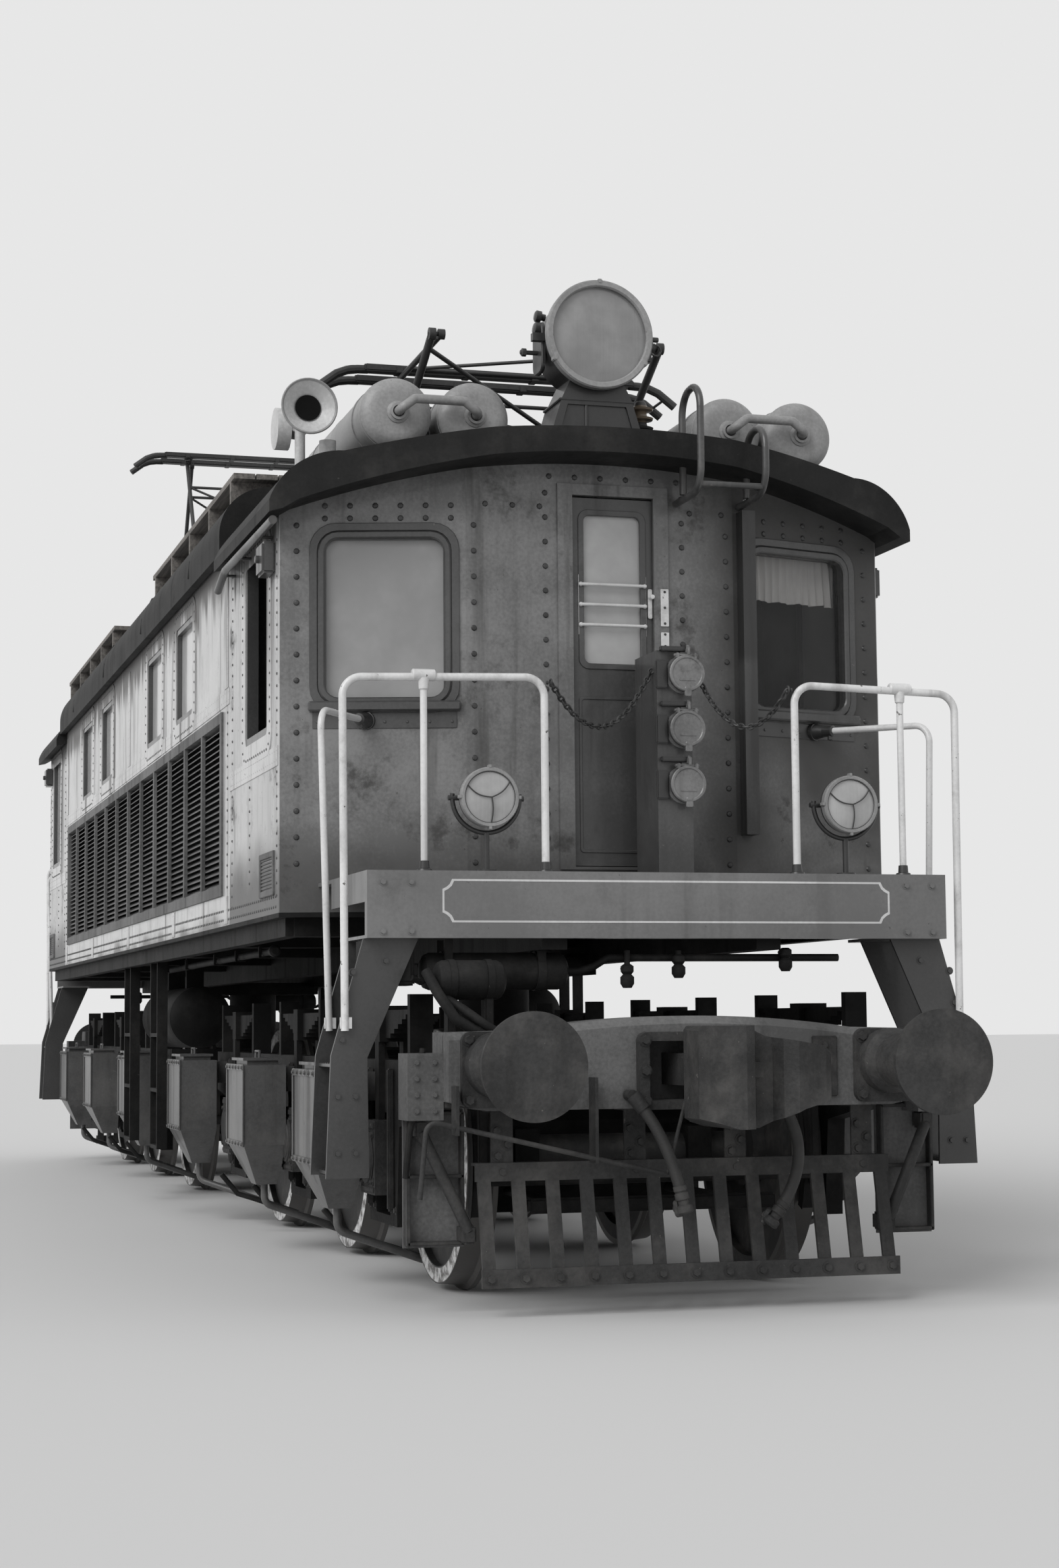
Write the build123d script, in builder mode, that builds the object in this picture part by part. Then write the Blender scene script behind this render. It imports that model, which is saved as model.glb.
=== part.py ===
from build123d import *
import os
from math import cos, hypot, radians, sin, sqrt, tan

# Six-axle electric locomotive: a riveted box body on two articulated three-axle bogies.
# Frame: +X towards the leading cab, +Z up, Z = 0 at the lowest point of the wheel flanges.
# All sizes are millimetres. The rear half is the front half turned half a circle about Z.

os.makedirs("parts", exist_ok=True)

# Clearances
SEAT_GAP = 0.3

# Wheels and axles
RAIL_TOP = 28
WHEEL_R = 610
FLANGE_R = WHEEL_R + RAIL_TOP
AXLE_Z = FLANGE_R
WHEEL_BACK = 720
WHEEL_FACE = 860
RIM_R = 525
HUB_R = 180
AXLE_R = 90
JOURNAL_END = 1150
SPOKES = 12

# Bogies
BOGIE_X = 4050
AXLE_PITCH = 2100
AXLE_US = (AXLE_PITCH, 0, -AXLE_PITCH)
FRAME_IN = 1030
FRAME_OUT = 1120
FRAME_TOP = 1100
FRAME_LOW = 790
PEDESTAL_LOW = 370
JAW = 300
FRAME_REAR_U = -2950
HEADSTOCK_BACK = 7150
HEADSTOCK_FACE = 7450
HITCH_PIN_R = 55
PIVOT_R = 200
PIVOT_SEAT = 1100

# Draw gear
BUFFER_FACE = 8109
BUFFER_Y = 915
BUFFER_Z = 1088
BUFFER_DISC_R = 228
DRAFT_BACK = 7250
DRAFT_HALF = 225
DRAFT_LOW, DRAFT_TOP = 925, 1185

# Body
BODY_HALF_W = 1587
WALL = 60
BODY_LOW = 1813
MAIN_END = 4450
WALL_FACE = 6170
CREASE_Y = 700
FACET_DEG = 15
SILL_LOW = 1600
SIDE_SILL_LOW = 1700
BEAM_FACE = 7095
BEAM_HALF_W = 1402
BEAM_LOW = 1650
DECK_TOP = 1953

# Roofs
CAB_ROOF_TOP = 4180
CAB_ROOF_THICK = 125
CAB_ROOF_FRONT = 6470
EAVE_HALF_W = 1680
EAVE_LOW = 3740
LIP_Y, LIP_Z = 1617, 3755
UNDER_Y, UNDER_Z = 1540, 3800
MAIN_ROOF_TOP = 4330
MAIN_EAVE = 1650
ROOF_SHEET = 45
ROOF_FOOT = 3840
END_PLATE = 25

# Windows: centre, width, sill and head of each kind
SIDE_WINDOWS = (2722, 1348)
SIDE_WINDOW_W = 700
SIDE_SILL, SIDE_HEAD = 3130, 3730
CAB_WINDOW_X, CAB_WINDOW_W = 5290, 660
CAB_SILL, CAB_HEAD = 2720, 3740
FRONT_WIN_IN, FRONT_WIN_OUT = 755, 1420
FRONT_WIN_W = (FRONT_WIN_OUT - FRONT_WIN_IN) / cos(radians(FACET_DEG))
FRONT_SILL, FRONT_HEAD = 2810, 3705
GLASS = 8

# Louvres
LOUVRE_HALF = 4220
LOUVRE_LOW, LOUVRE_TOP = 1980, 3000
LOUVRE_BAYS = 12
SLATS = 26

# Doors
DOOR_Y = 60
DOOR_HALF = 290
DOOR_RIM = 55
DOOR_SILL, DOOR_HEAD = 2020, 3950
DOOR_THICK = 40

# Pantographs
PANTO_X = 4150
LOWERED, RAISED = 430, 1750
SHAFT_X, SHAFT_Z = 300, 4500
LOWER_ARM, UPPER_ARM = 909, 1040
TOP_X = 60


def side_plane(x, y):
    # sketches in X and Z; the normal looks along -Y
    return Plane(origin=(x, y, 0), x_dir=(1, 0, 0), z_dir=(0, -1, 0))


def cross_plane(x):
    # sketches in Y and Z; the normal looks along +X
    return Plane(origin=(x, 0, 0), x_dir=(0, 1, 0), z_dir=(1, 0, 0))


def front_window_plane(side):
    # upright plane on the angled part of the front wall, under the middle of its window
    turn = radians(FACET_DEG)
    middle = (FRONT_WIN_IN + FRONT_WIN_OUT) / 2
    origin = (WALL_FACE - (middle - CREASE_Y) * tan(turn), side * middle, 0)
    return Plane(origin=origin, x_dir=(-side * sin(turn), cos(turn), 0), z_dir=(cos(turn), side * sin(turn), 0))


def block(x0, x1, y0, y1, z0, z1):
    with BuildPart(Location(((x0 + x1) / 2, (y0 + y1) / 2, (z0 + z1) / 2))) as piece:
        Box(abs(x1 - x0), abs(y1 - y0), abs(z1 - z0))
    return piece.part


def tube(points, bend, r):
    # a round bar along straight runs joined by tangent arcs
    with BuildPart() as bar:
        with BuildLine() as path:
            if len(points) > 2:
                FilletPolyline(*points, radius=bend)
            else:
                Line(*points)
        with BuildSketch(Plane(origin=path.line @ 0, z_dir=path.line % 0)):
            Circle(r)
        sweep(path=path.line)
    return bar.part


def rod(start, end, r):
    return tube([start, end], 0, r)


def save(builder, name):
    builder.part.label = name
    export_step(builder.part, f"parts/{name}.step")


def save_front_and_rear(builder, name):
    # two nodes: the rear one is the front one turned half a circle
    save(builder, f"{name}_front")
    with BuildPart() as other:
        add(builder.part.rotate(Axis.Z, 180))
    save(other, f"{name}_rear")


def save_both_ends(builder, name):
    # one node that holds the front pieces and the same pieces at the rear
    with BuildPart() as both:
        add(builder.part)
        add(builder.part.rotate(Axis.Z, 180))
    save(both, name)


# Wheelsets: two spoked wheels and an axle, one rigid piece each

# half profile of wheel and axle: radius, distance from the centre line
WHEEL_PROFILE = [
    (0, 0), (AXLE_R, 0), (AXLE_R, 700), (HUB_R, 700), (HUB_R, 765), (RIM_R, 765),
    (RIM_R, WHEEL_BACK), (FLANGE_R, WHEEL_BACK), (FLANGE_R, 745), (WHEEL_R + 6, 760),
    (WHEEL_R - 4, WHEEL_FACE), (RIM_R, WHEEL_FACE), (RIM_R, 825), (HUB_R, 825),
    (HUB_R, 880), (AXLE_R - 5, 880), (AXLE_R - 5, JOURNAL_END), (0, JOURNAL_END),
]
AXLE_XS = [end * (BOGIE_X + u) for end in (1, -1) for u in AXLE_US]

for number, axle_x in enumerate(AXLE_XS, 1):
    with BuildPart() as wheelset:
        with BuildSketch(Plane((axle_x, 0, AXLE_Z))):
            with BuildLine():
                Polyline(*WHEEL_PROFILE, close=True)
            make_face()
        revolve(axis=Axis((axle_x, 0, AXLE_Z), (0, 1, 0)))
        with BuildSketch(side_plane(axle_x, 830).move(Location((0, 0, AXLE_Z)))):
            with PolarLocations((RIM_R + HUB_R) / 2, SPOKES):
                Trapezoid(115, RIM_R - HUB_R - 90, 102, rotation=-90)
        extrude(amount=70, mode=Mode.SUBTRACT)
        mirror(about=Plane.XZ)
    save(wheelset, f"wheelset_{number}")


# Bogie frame: pedestal side frames, cross members, centre beam, headstock and hitch

def frame_outline():
    # side frame seen from the side, with a jaw at each axle
    points = [(FRAME_REAR_U, FRAME_TOP), (3150, FRAME_TOP), (3150, 900)]
    for u in AXLE_US:
        points += [
            (u + 340, FRAME_LOW), (u + 290, PEDESTAL_LOW), (u + JAW / 2, PEDESTAL_LOW),
            (u + JAW / 2, 850), (u - JAW / 2, 850), (u - JAW / 2, PEDESTAL_LOW),
            (u - 290, PEDESTAL_LOW), (u - 340, FRAME_LOW),
        ]
    points += [(FRAME_REAR_U, 850)]
    return points


with BuildPart() as bogie_frame:
    with BuildSketch(side_plane(BOGIE_X, FRAME_IN)):
        with BuildLine():
            Polyline(*frame_outline(), close=True)
        make_face()
    extrude(amount=-(FRAME_OUT - FRAME_IN))
    for u in AXLE_US:
        x = BOGIE_X + u
        add(block(x - 290, x + 290, FRAME_IN, FRAME_OUT, PEDESTAL_LOW - 45, PEDESTAL_LOW))
    mirror(about=Plane.XZ)
    for u in (1050, -1050):
        x = BOGIE_X + u
        add(block(x - 95, x + 95, -FRAME_IN, FRAME_IN, 600, FRAME_TOP - 20))
    add(block(BOGIE_X + FRAME_REAR_U, BOGIE_X + FRAME_REAR_U + 120, -FRAME_IN, FRAME_IN, 850, FRAME_TOP))
    add(block(BOGIE_X - 1050, BOGIE_X + 1050, -260, 260, 990, 1060))
    with BuildSketch(Plane.XY.offset(1060)):
        with Locations((BOGIE_X, 0)):
            Circle(PIVOT_R + 60)
    extrude(amount=70)
    with BuildSketch(Plane.XY.offset(PIVOT_SEAT - SEAT_GAP)):
        with Locations((BOGIE_X, 0)):
            Circle(PIVOT_R + 8)
    extrude(amount=60, mode=Mode.SUBTRACT)
    with BuildSketch(cross_plane(HEADSTOCK_FACE)):
        with BuildLine():
            low = Polyline((760, 1240), (FRAME_OUT, 1230), (FRAME_OUT, 930), (950, 890), (-950, 890),
                           (-FRAME_OUT, 930), (-FRAME_OUT, 1230), (-760, 1240))
            ThreePointArc(low @ 1, (0, 1295), low @ 0)
        make_face()
    extrude(amount=-(HEADSTOCK_FACE - HEADSTOCK_BACK))
    front_edges = bogie_frame.edges().group_by(Axis.X)[-1]
    chamfer(front_edges.filter_by(lambda edge: edge.center().Z > 1220), 35)
    # pocket for the coupler's shank
    add(block(DRAFT_BACK, HEADSTOCK_FACE, -DRAFT_HALF, DRAFT_HALF, DRAFT_LOW, DRAFT_TOP), mode=Mode.SUBTRACT)
    # boxes at the ends of the headstock, and guard plates in front of the wheels
    for side in (-1, 1):
        add(block(HEADSTOCK_BACK + 20, 7350, side * FRAME_OUT, side * 1280, 850, 1140))
        add(block(HEADSTOCK_BACK, HEADSTOCK_BACK + 12, side * 985, side * 1260, 290, 890))

with BuildPart() as bogie_frame_front:
    add(bogie_frame.part)
    # hitch tongue with a round eye about the centre of the locomotive
    add(block(80, BOGIE_X + FRAME_REAR_U, -140, 140, 900, 960))
    with BuildSketch(Plane.XY.offset(900)):
        Circle(150)
    extrude(amount=60)
    with BuildSketch(Plane.XY.offset(900)):
        Circle(HITCH_PIN_R + 15)
    extrude(amount=60, mode=Mode.SUBTRACT)
save(bogie_frame_front, "bogie_frame_front")

with BuildPart() as bogie_frame_rear:
    add(bogie_frame.part.rotate(Axis.Z, 180))
    # hitch fork above and below the tongue, and its pin
    for low in (830, 980):
        add(block(-BOGIE_X - FRAME_REAR_U, 0, -140, 140, low, low + 50))
        with BuildSketch(Plane.XY.offset(low)):
            Circle(140)
        extrude(amount=50)
    with BuildSketch(Plane.XY.offset(850)):
        Circle(HITCH_PIN_R)
    extrude(amount=150)
    for side in (-1, 1):
        x = -BOGIE_X - FRAME_REAR_U
        add(block(x, x + 60, side * 140 - 60, side * 140 + 60, 830, 1030))
save(bogie_frame_rear, "bogie_frame_rear")


# Axle boxes in the jaws, and leaf springs above the frame

LEAVES = 6
LEAF_T = 22
SPRING_TOP = 1335
SPRING_Y = (FRAME_IN + FRAME_OUT) / 2
SPRING_HALF = 560
BOX_TOP = 815


def leaf_outline():
    # stepped pack, longest leaf on top: half length, height of the step
    right = []
    for leaf in range(LEAVES):
        half = SPRING_HALF - leaf * 80
        right += [(half, SPRING_TOP - leaf * LEAF_T), (half, SPRING_TOP - (leaf + 1) * LEAF_T)]
    left = [(-x, z) for x, z in reversed(right)]
    return right + left


with BuildPart() as axle_boxes:
    for u in AXLE_US:
        x = BOGIE_X + u
        half = JAW / 2 - SEAT_GAP
        add(block(x - half, x + half, 985, 1195, 465, BOX_TOP))
        with BuildSketch(side_plane(x, 1195)):
            with Locations((0, AXLE_Z)):
                Circle(125)
        extrude(amount=-15, taper=12)
        with BuildSketch(side_plane(x, 985)):
            with Locations((0, AXLE_Z)):
                Circle(AXLE_R - 5 + SEAT_GAP)
        extrude(amount=-(JOURNAL_END + 10 - 985), mode=Mode.SUBTRACT)
    mirror(about=Plane.XZ)
save_front_and_rear(axle_boxes, "axle_boxes")

with BuildPart() as leaf_springs:
    for u in AXLE_US:
        x = BOGIE_X + u
        with BuildSketch(side_plane(x, SPRING_Y - 45)):
            with BuildLine():
                Polyline(*leaf_outline(), close=True)
            make_face()
        extrude(amount=-90)
        # buckle, and the saddle that straddles the frame down to the axle box
        add(block(x - 60, x + 60, SPRING_Y - 75, SPRING_Y + 75, SPRING_TOP - 150, SPRING_TOP + 22))
        for y in (FRAME_IN - 30 - SEAT_GAP, FRAME_OUT + SEAT_GAP):
            add(block(x - 40, x + 40, y, y + 30, BOX_TOP, SPRING_TOP - 100))
        for end in (-1, 1):
            hang = x + end * (SPRING_HALF + 25)
            add(block(hang - 25, hang + 25, SPRING_Y - 55, SPRING_Y + 55, FRAME_TOP, SPRING_TOP + 70))
    mirror(about=Plane.XZ)
save_front_and_rear(leaf_springs, "leaf_springs")


# Sandboxes with a hopper bottom, lid and sand pipe beside each wheel

# centre of the box, foot of its pipe just off the tread
SANDBOXES = ((5870, 5750), (3830, 3650), (1380, 1550))
SAND_HALF = 280
SAND_IN, SAND_OUT = 1215, 1450
SAND_TOP, SAND_FOOT = 1050, 610

with BuildPart() as sandboxes:
    for x, pipe_foot in SANDBOXES:
        middle = (SAND_IN + SAND_OUT) / 2
        width = SAND_OUT - SAND_IN
        add(block(x - SAND_HALF, x + SAND_HALF, SAND_IN, SAND_OUT, SAND_FOOT, SAND_TOP))
        with BuildSketch(Plane.XY.offset(SAND_FOOT)):
            with Locations((x, middle)):
                Rectangle(2 * SAND_HALF, width)
        with BuildSketch(Plane.XY.offset(SAND_FOOT - 230)):
            with Locations((x - 60, SAND_IN + 60)):
                Rectangle(160, 120)
        loft()
        # filler neck with an overhanging lid
        add(block(x - 150, x + 210, SAND_IN + 30, SAND_OUT - 30, SAND_TOP, SAND_TOP + 25))
        add(block(x - 165, x + 225, SAND_IN + 15, SAND_OUT - 5, SAND_TOP + 25, SAND_TOP + 40))
        # brackets to the side frame
        for dx in (-200, 100):
            add(block(x + dx - 20, x + dx + 20, FRAME_OUT, SAND_IN, 900, 1040))
        foot = SAND_FOOT - 230
        add(tube([(x - 60, SAND_IN + 60, foot), (x - 60, SAND_IN + 60, foot - 110),
                  (pipe_foot, 830, 110)], 60, 20))
    mirror(about=Plane.XZ)
save_front_and_rear(sandboxes, "sandboxes")


# Traction motors hung on the axles

MOTOR_R = 350
MOTOR_OFF = 560
MOTOR_Z = 650

# axle, direction of the motor from it
MOTORS = ((AXLE_PITCH, -1), (0, 1), (-AXLE_PITCH, 1))

with BuildPart() as motors:
    for u, way in MOTORS:
        axle_x = BOGIE_X + u
        motor_x = axle_x + way * MOTOR_OFF
        with BuildSketch(Plane((motor_x, 0, MOTOR_Z), x_dir=(1, 0, 0), z_dir=(0, -1, 0))):
            RegularPolygon(MOTOR_R, 8, rotation=22.5)
        extrude(amount=500, both=True)
        for y in (-440, 440):
            reach = motor_x - way * MOTOR_R * 0.8
            low_x, high_x = sorted((reach, axle_x - way * 130))
            add(block(low_x, high_x, y - 60, y + 60, 520, 760))
        with BuildSketch(side_plane(axle_x, 600)):
            with Locations((0, AXLE_Z)):
                Circle(AXLE_R + SEAT_GAP)
        extrude(amount=1200, mode=Mode.SUBTRACT)
save_front_and_rear(motors, "traction_motors")


# Draw gear: buffers on square flanges, and the knuckle coupler

with BuildPart() as draw_gear:
    for side in (-1, 1):
        y = side * BUFFER_Y
        with BuildSketch(cross_plane(HEADSTOCK_FACE)):
            with Locations((y, BUFFER_Z - 20)):
                RectangleRounded(310, 330, 45)
        extrude(amount=35)
        with BuildSketch(side_plane(0, y)):
            with BuildLine():
                outline = Polyline(
                    (HEADSTOCK_FACE + 35, BUFFER_Z), (HEADSTOCK_FACE + 35, BUFFER_Z + 145),
                    (7560, BUFFER_Z + 145), (7620, BUFFER_Z + 120), (7800, BUFFER_Z + 112),
                    (7800, BUFFER_Z + 85), (8040, BUFFER_Z + 85), (8060, BUFFER_Z + 130),
                    (8060, BUFFER_Z + BUFFER_DISC_R), (8085, BUFFER_Z + BUFFER_DISC_R))
                dome = ThreePointArc(outline @ 1, (BUFFER_FACE - 6, BUFFER_Z + 114),
                                     (BUFFER_FACE, BUFFER_Z + 12))
                Polyline(dome @ 1, (BUFFER_FACE, BUFFER_Z), outline @ 0)
            make_face()
        revolve(axis=Axis((0, y, BUFFER_Z), (1, 0, 0)))


# coupler from above: X, Y
COUPLER_PLAN = [
    (DRAFT_BACK, -85), (7640, -85), (7740, -150), (7960, -160), (8055, -110), (8085, 10), (8050, 60),
    (7965, 75), (7930, 110), (7930, 185), (7985, 215), (8025, 270), (8005, 400), (7950, 445),
    (7860, 435), (7740, 250), (7640, 85), (DRAFT_BACK, 85),
]

# its head from the front: Y, Z
COUPLER_FRONT = [
    (-165, 1225), (-120, 1250), (60, 1250), (150, 1205), (400, 1160), (450, 1120), (450, 935),
    (300, 895), (200, 850), (120, 815), (-20, 815), (-165, 860),
]

# brake hoses: middle of the cock on the headstock, bend, lower end
HOSES = (
    ((7520, -310, 950), (7580, -165, 740), (7600, -115, 500)),
    ((7520, 360, 950), (7590, 505, 650), (7565, 335, 425)),
)
HOSE_R = 26
COCK_PART = 0.3
LEVER_R = 11


def between(start, end, part):
    # the point that lies part of the way from start to end
    return tuple(a + (b - a) * part for a, b in zip(start, end))


with BuildPart() as coupler:
    with BuildSketch(Plane.XY.offset(800)):
        with BuildLine():
            Polyline(*COUPLER_PLAN, close=True)
        make_face()
    extrude(amount=460)
    with BuildSketch(cross_plane(DRAFT_BACK)):
        with BuildLine():
            Polyline(*COUPLER_FRONT, close=True)
        make_face()
    extrude(amount=900, mode=Mode.INTERSECT)
    # the shank is lower than the head
    for low, high in ((700, 990), (1130, 1300)):
        add(block(DRAFT_BACK, 7620, -200, 200, low, high), mode=Mode.SUBTRACT)
    # lock in the throat
    add(block(7900, 7965, 80, 130, 1030, 1095))

with BuildPart() as front_gear:
    add(draw_gear.part)
    add(coupler.part)
    # frame around the draft pocket
    with BuildSketch(cross_plane(HEADSTOCK_FACE)):
        with Locations((0, (DRAFT_LOW + DRAFT_TOP) / 2)):
            RectangleRounded(2 * DRAFT_HALF + 90, DRAFT_TOP - DRAFT_LOW + 80, 40)
            Rectangle(2 * DRAFT_HALF, DRAFT_TOP - DRAFT_LOW, mode=Mode.SUBTRACT)
    extrude(amount=55)
    # brake cocks: a nipple out of the headstock and a body that points along the hose
    for cock, bend, low in HOSES:
        add(rod((HEADSTOCK_FACE, cock[1], cock[2]), cock, 24))
        add(rod(cock, between(cock, bend, COCK_PART), HOSE_R + 6))
    # uncoupling lever with its handle, two bearing plates and the lift rod
    add(tube([(7520, -1268, 523), (7520, -1236, 855), (7540, -163, 605)], 45, LEVER_R))
    add(block(HEADSTOCK_FACE, 7535, -1110, -1096, 790, 1000))
    add(block(HEADSTOCK_FACE, 7545, -490, -476, 660, 1030))
    add(rod((7540, -163, 605), (7580, -70, 992), LEVER_R - 3))
save_front_and_rear(front_gear, "draw_gear")


# Cowcatcher: rails, slanted bars and bolted hangers

COW_HALF = 975
COW_BARS = 13
COW_TOP_X, COW_LOW_X = 7330, 7440
COW_TOP_Z, COW_LOW_Z = 660, 130

with BuildPart() as cowcatcher:
    add(block(COW_TOP_X - 12, COW_TOP_X, -COW_HALF, COW_HALF, COW_TOP_Z - 80, COW_TOP_Z))
    add(block(COW_TOP_X - 70, COW_TOP_X - 12, -COW_HALF, COW_HALF, COW_TOP_Z - 12, COW_TOP_Z))
    add(block(COW_LOW_X - 12, COW_LOW_X, -COW_HALF, COW_HALF, COW_LOW_Z, COW_LOW_Z + 80))
    for i in range(COW_BARS):
        y = -COW_HALF + 40 + i * (2 * COW_HALF - 80) / (COW_BARS - 1)
        with BuildSketch(side_plane(0, y - 30)):
            with BuildLine():
                Polyline((COW_TOP_X - 12, COW_TOP_Z - 20), (COW_LOW_X - 12, COW_LOW_Z + 10),
                         (COW_LOW_X - 30, COW_LOW_Z + 10), (COW_TOP_X - 30, COW_TOP_Z - 20), close=True)
            make_face()
        extrude(amount=-60)
    for y in (-850, -237, 237, 850):
        add(block(COW_TOP_X - 24, COW_TOP_X - 12, y - 50, y + 50, COW_TOP_Z - 70, 890))
        add(block(HEADSTOCK_BACK + 20, COW_TOP_X - 12, y - 50, y + 50, 878, 890))
save_front_and_rear(cowcatcher, "cowcatcher")


# Brake hoses with the coupling at the lower end of each

with BuildPart() as hoses:
    for cock, bend, low in HOSES:
        add(tube([between(cock, bend, COCK_PART), bend, low], 8 * HOSE_R, HOSE_R))
        add(rod(low, between(bend, low, 1.3), HOSE_R + 8))
save_front_and_rear(hoses, "brake_hoses")


# Underframe: sills, cross bearers, floor and the two pivots

def cab_core():
    # everything inside the outer faces of a cab's walls
    with BuildPart() as core:
        with BuildSketch(Plane.XY.offset(BODY_LOW)):
            with BuildLine():
                Polyline(*cab_plan(0), close=True)
            make_face()
        extrude(amount=4010 - BODY_LOW)
    return core.part


def cab_plan(inset):
    # right half of the cab's outline from above, from the joint with the main body forwards
    turn = radians(FACET_DEG)
    face = WALL_FACE - inset
    crease = CREASE_Y - inset * tan(turn / 2)
    side = BODY_HALF_W - inset
    corner = face - (side - crease) * tan(turn)
    return [(MAIN_END, side), (corner, side), (face, crease),
            (face, -crease), (corner, -side), (MAIN_END, -side)]


FLOOR_T = 23

with BuildPart() as underframe:
    with BuildSketch(Plane.XY.offset(BODY_LOW - FLOOR_T)):
        with BuildLine():
            front = cab_plan(0)
            rear = [(-x, -y) for x, y in front]
            Polyline(*front, *rear, close=True)
        make_face()
    extrude(amount=FLOOR_T)
    for y in (-520, 520):
        add(block(-BEAM_FACE + 50, BEAM_FACE - 50, y - 60, y + 60, SILL_LOW, BODY_LOW - FLOOR_T))
    for y in (-1500, 1500):
        add(block(-5850, 5850, y - 40, y + 40, SIDE_SILL_LOW, BODY_LOW - FLOOR_T))
    for x in (-5800, -4050, -2000, 0, 2000, 4050, 5800):
        add(block(x - 90, x + 90, -1500, 1500, SIDE_SILL_LOW, BODY_LOW - FLOOR_T))
    for end in (-1, 1):
        x = end * BOGIE_X
        add(block(x - 300, x + 300, -520, 520, SILL_LOW - 60, SILL_LOW + 40))
        with BuildSketch(Plane.XY.offset(PIVOT_SEAT)):
            with Locations((x, 0)):
                Circle(PIVOT_R)
        extrude(amount=SILL_LOW - PIVOT_SEAT)
save(underframe, "underframe")


# End platforms: deck, end beam, and a ladder leg at each corner

LEG_X = 7000
LEG_DEPTH = 350

with BuildPart() as platform:
    with BuildSketch(Plane.XY.offset(DECK_TOP - 18)):
        with BuildLine():
            face_back = WALL_FACE - (BEAM_HALF_W - CREASE_Y) * tan(radians(FACET_DEG))
            Polyline((BEAM_FACE, BEAM_HALF_W), (face_back, BEAM_HALF_W), (WALL_FACE, CREASE_Y),
                     (WALL_FACE, -CREASE_Y), (face_back, -BEAM_HALF_W), (BEAM_FACE, -BEAM_HALF_W), close=True)
        make_face()
    extrude(amount=18)
    add(block(BEAM_FACE - 50, BEAM_FACE, -BEAM_HALF_W, BEAM_HALF_W, BEAM_LOW, DECK_TOP))
    for side in (-1, 1):
        y0, y1 = sorted((side * (BEAM_HALF_W - 14), side * BEAM_HALF_W))
        add(block(6300, BEAM_FACE, y0, y1, BODY_LOW, DECK_TOP))
        add(block(6500, BEAM_FACE, min(y0, side * 1150), max(y1, side * 1150), BEAM_LOW, BEAM_LOW + 14))
        # ladder: front and back plates with two treads
        for x in (LEG_X, LEG_X - LEG_DEPTH):
            with BuildSketch(cross_plane(x)):
                with BuildLine():
                    Polyline((side * BEAM_HALF_W, BEAM_LOW), (side * 1550, 1130), (side * 1573, 590),
                             (side * 1378, 590), (side * 1385, 1120), (side * 1150, BEAM_LOW), close=True)
                make_face()
            extrude(amount=14)
        for low in (600, 1080):
            y0, y1 = sorted((side * 1392, side * 1535))
            add(block(LEG_X - LEG_DEPTH, LEG_X + 14, y0, y1, low, low + 14))
save_both_ends(platform, "platforms")


# Body shells

def window_cut(plane, width, low, high, corner=40, through=400):
    # a rounded hole centred on the plane's own origin
    with BuildPart() as hole:
        with BuildSketch(plane):
            with Locations((0, (low + high) / 2)):
                RectangleRounded(width, high - low, corner)
        extrude(amount=through, both=True)
    return hole.part


def cab_roof_outline():
    # outline of the cab roof from the front
    underside = CAB_ROOF_TOP - CAB_ROOF_THICK
    with BuildLine() as line:
        crown = ThreePointArc((-1330, 4035), (0, CAB_ROOF_TOP), (1330, 4035))
        right = ThreePointArc(crown @ 1, (1580, 3950), (EAVE_HALF_W, 3800))
        low = Polyline(right @ 1, (EAVE_HALF_W, EAVE_LOW), (LIP_Y, LIP_Z), (UNDER_Y, UNDER_Z))
        under = ThreePointArc(low @ 1, (0, underside), (-UNDER_Y, UNDER_Z))
        left = Polyline(under @ 1, (-LIP_Y, LIP_Z), (-EAVE_HALF_W, EAVE_LOW),
                        (-EAVE_HALF_W, 3800))
        ThreePointArc(left @ 1, (-1580, 3950), crown @ 0)
    return line.line


# where the outer face of the cab wall meets the slope under the eave
SHOULDER_Z = LIP_Z + (LIP_Y - BODY_HALF_W) * (UNDER_Z - LIP_Z) / (LIP_Y - UNDER_Y) - 2 * SEAT_GAP


def below_cab_roof(x0, x1):
    # the space under the cab roof that its walls fill
    underside = CAB_ROOF_TOP - CAB_ROOF_THICK - SEAT_GAP
    with BuildPart() as space:
        with BuildSketch(cross_plane(x0)):
            with BuildLine():
                under = ThreePointArc((UNDER_Y, UNDER_Z - SEAT_GAP), (0, underside),
                                      (-UNDER_Y, UNDER_Z - SEAT_GAP))
                Polyline(under @ 1, (-BODY_HALF_W, SHOULDER_Z), (-BODY_HALF_W, BODY_LOW),
                         (BODY_HALF_W, BODY_LOW), (BODY_HALF_W, SHOULDER_Z), under @ 0)
            make_face()
        extrude(amount=x1 - x0)
    return space.part


CAB_SPACE = below_cab_roof(MAIN_END, WALL_FACE)
SIDE_FACES = (-1, 1)

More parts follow.
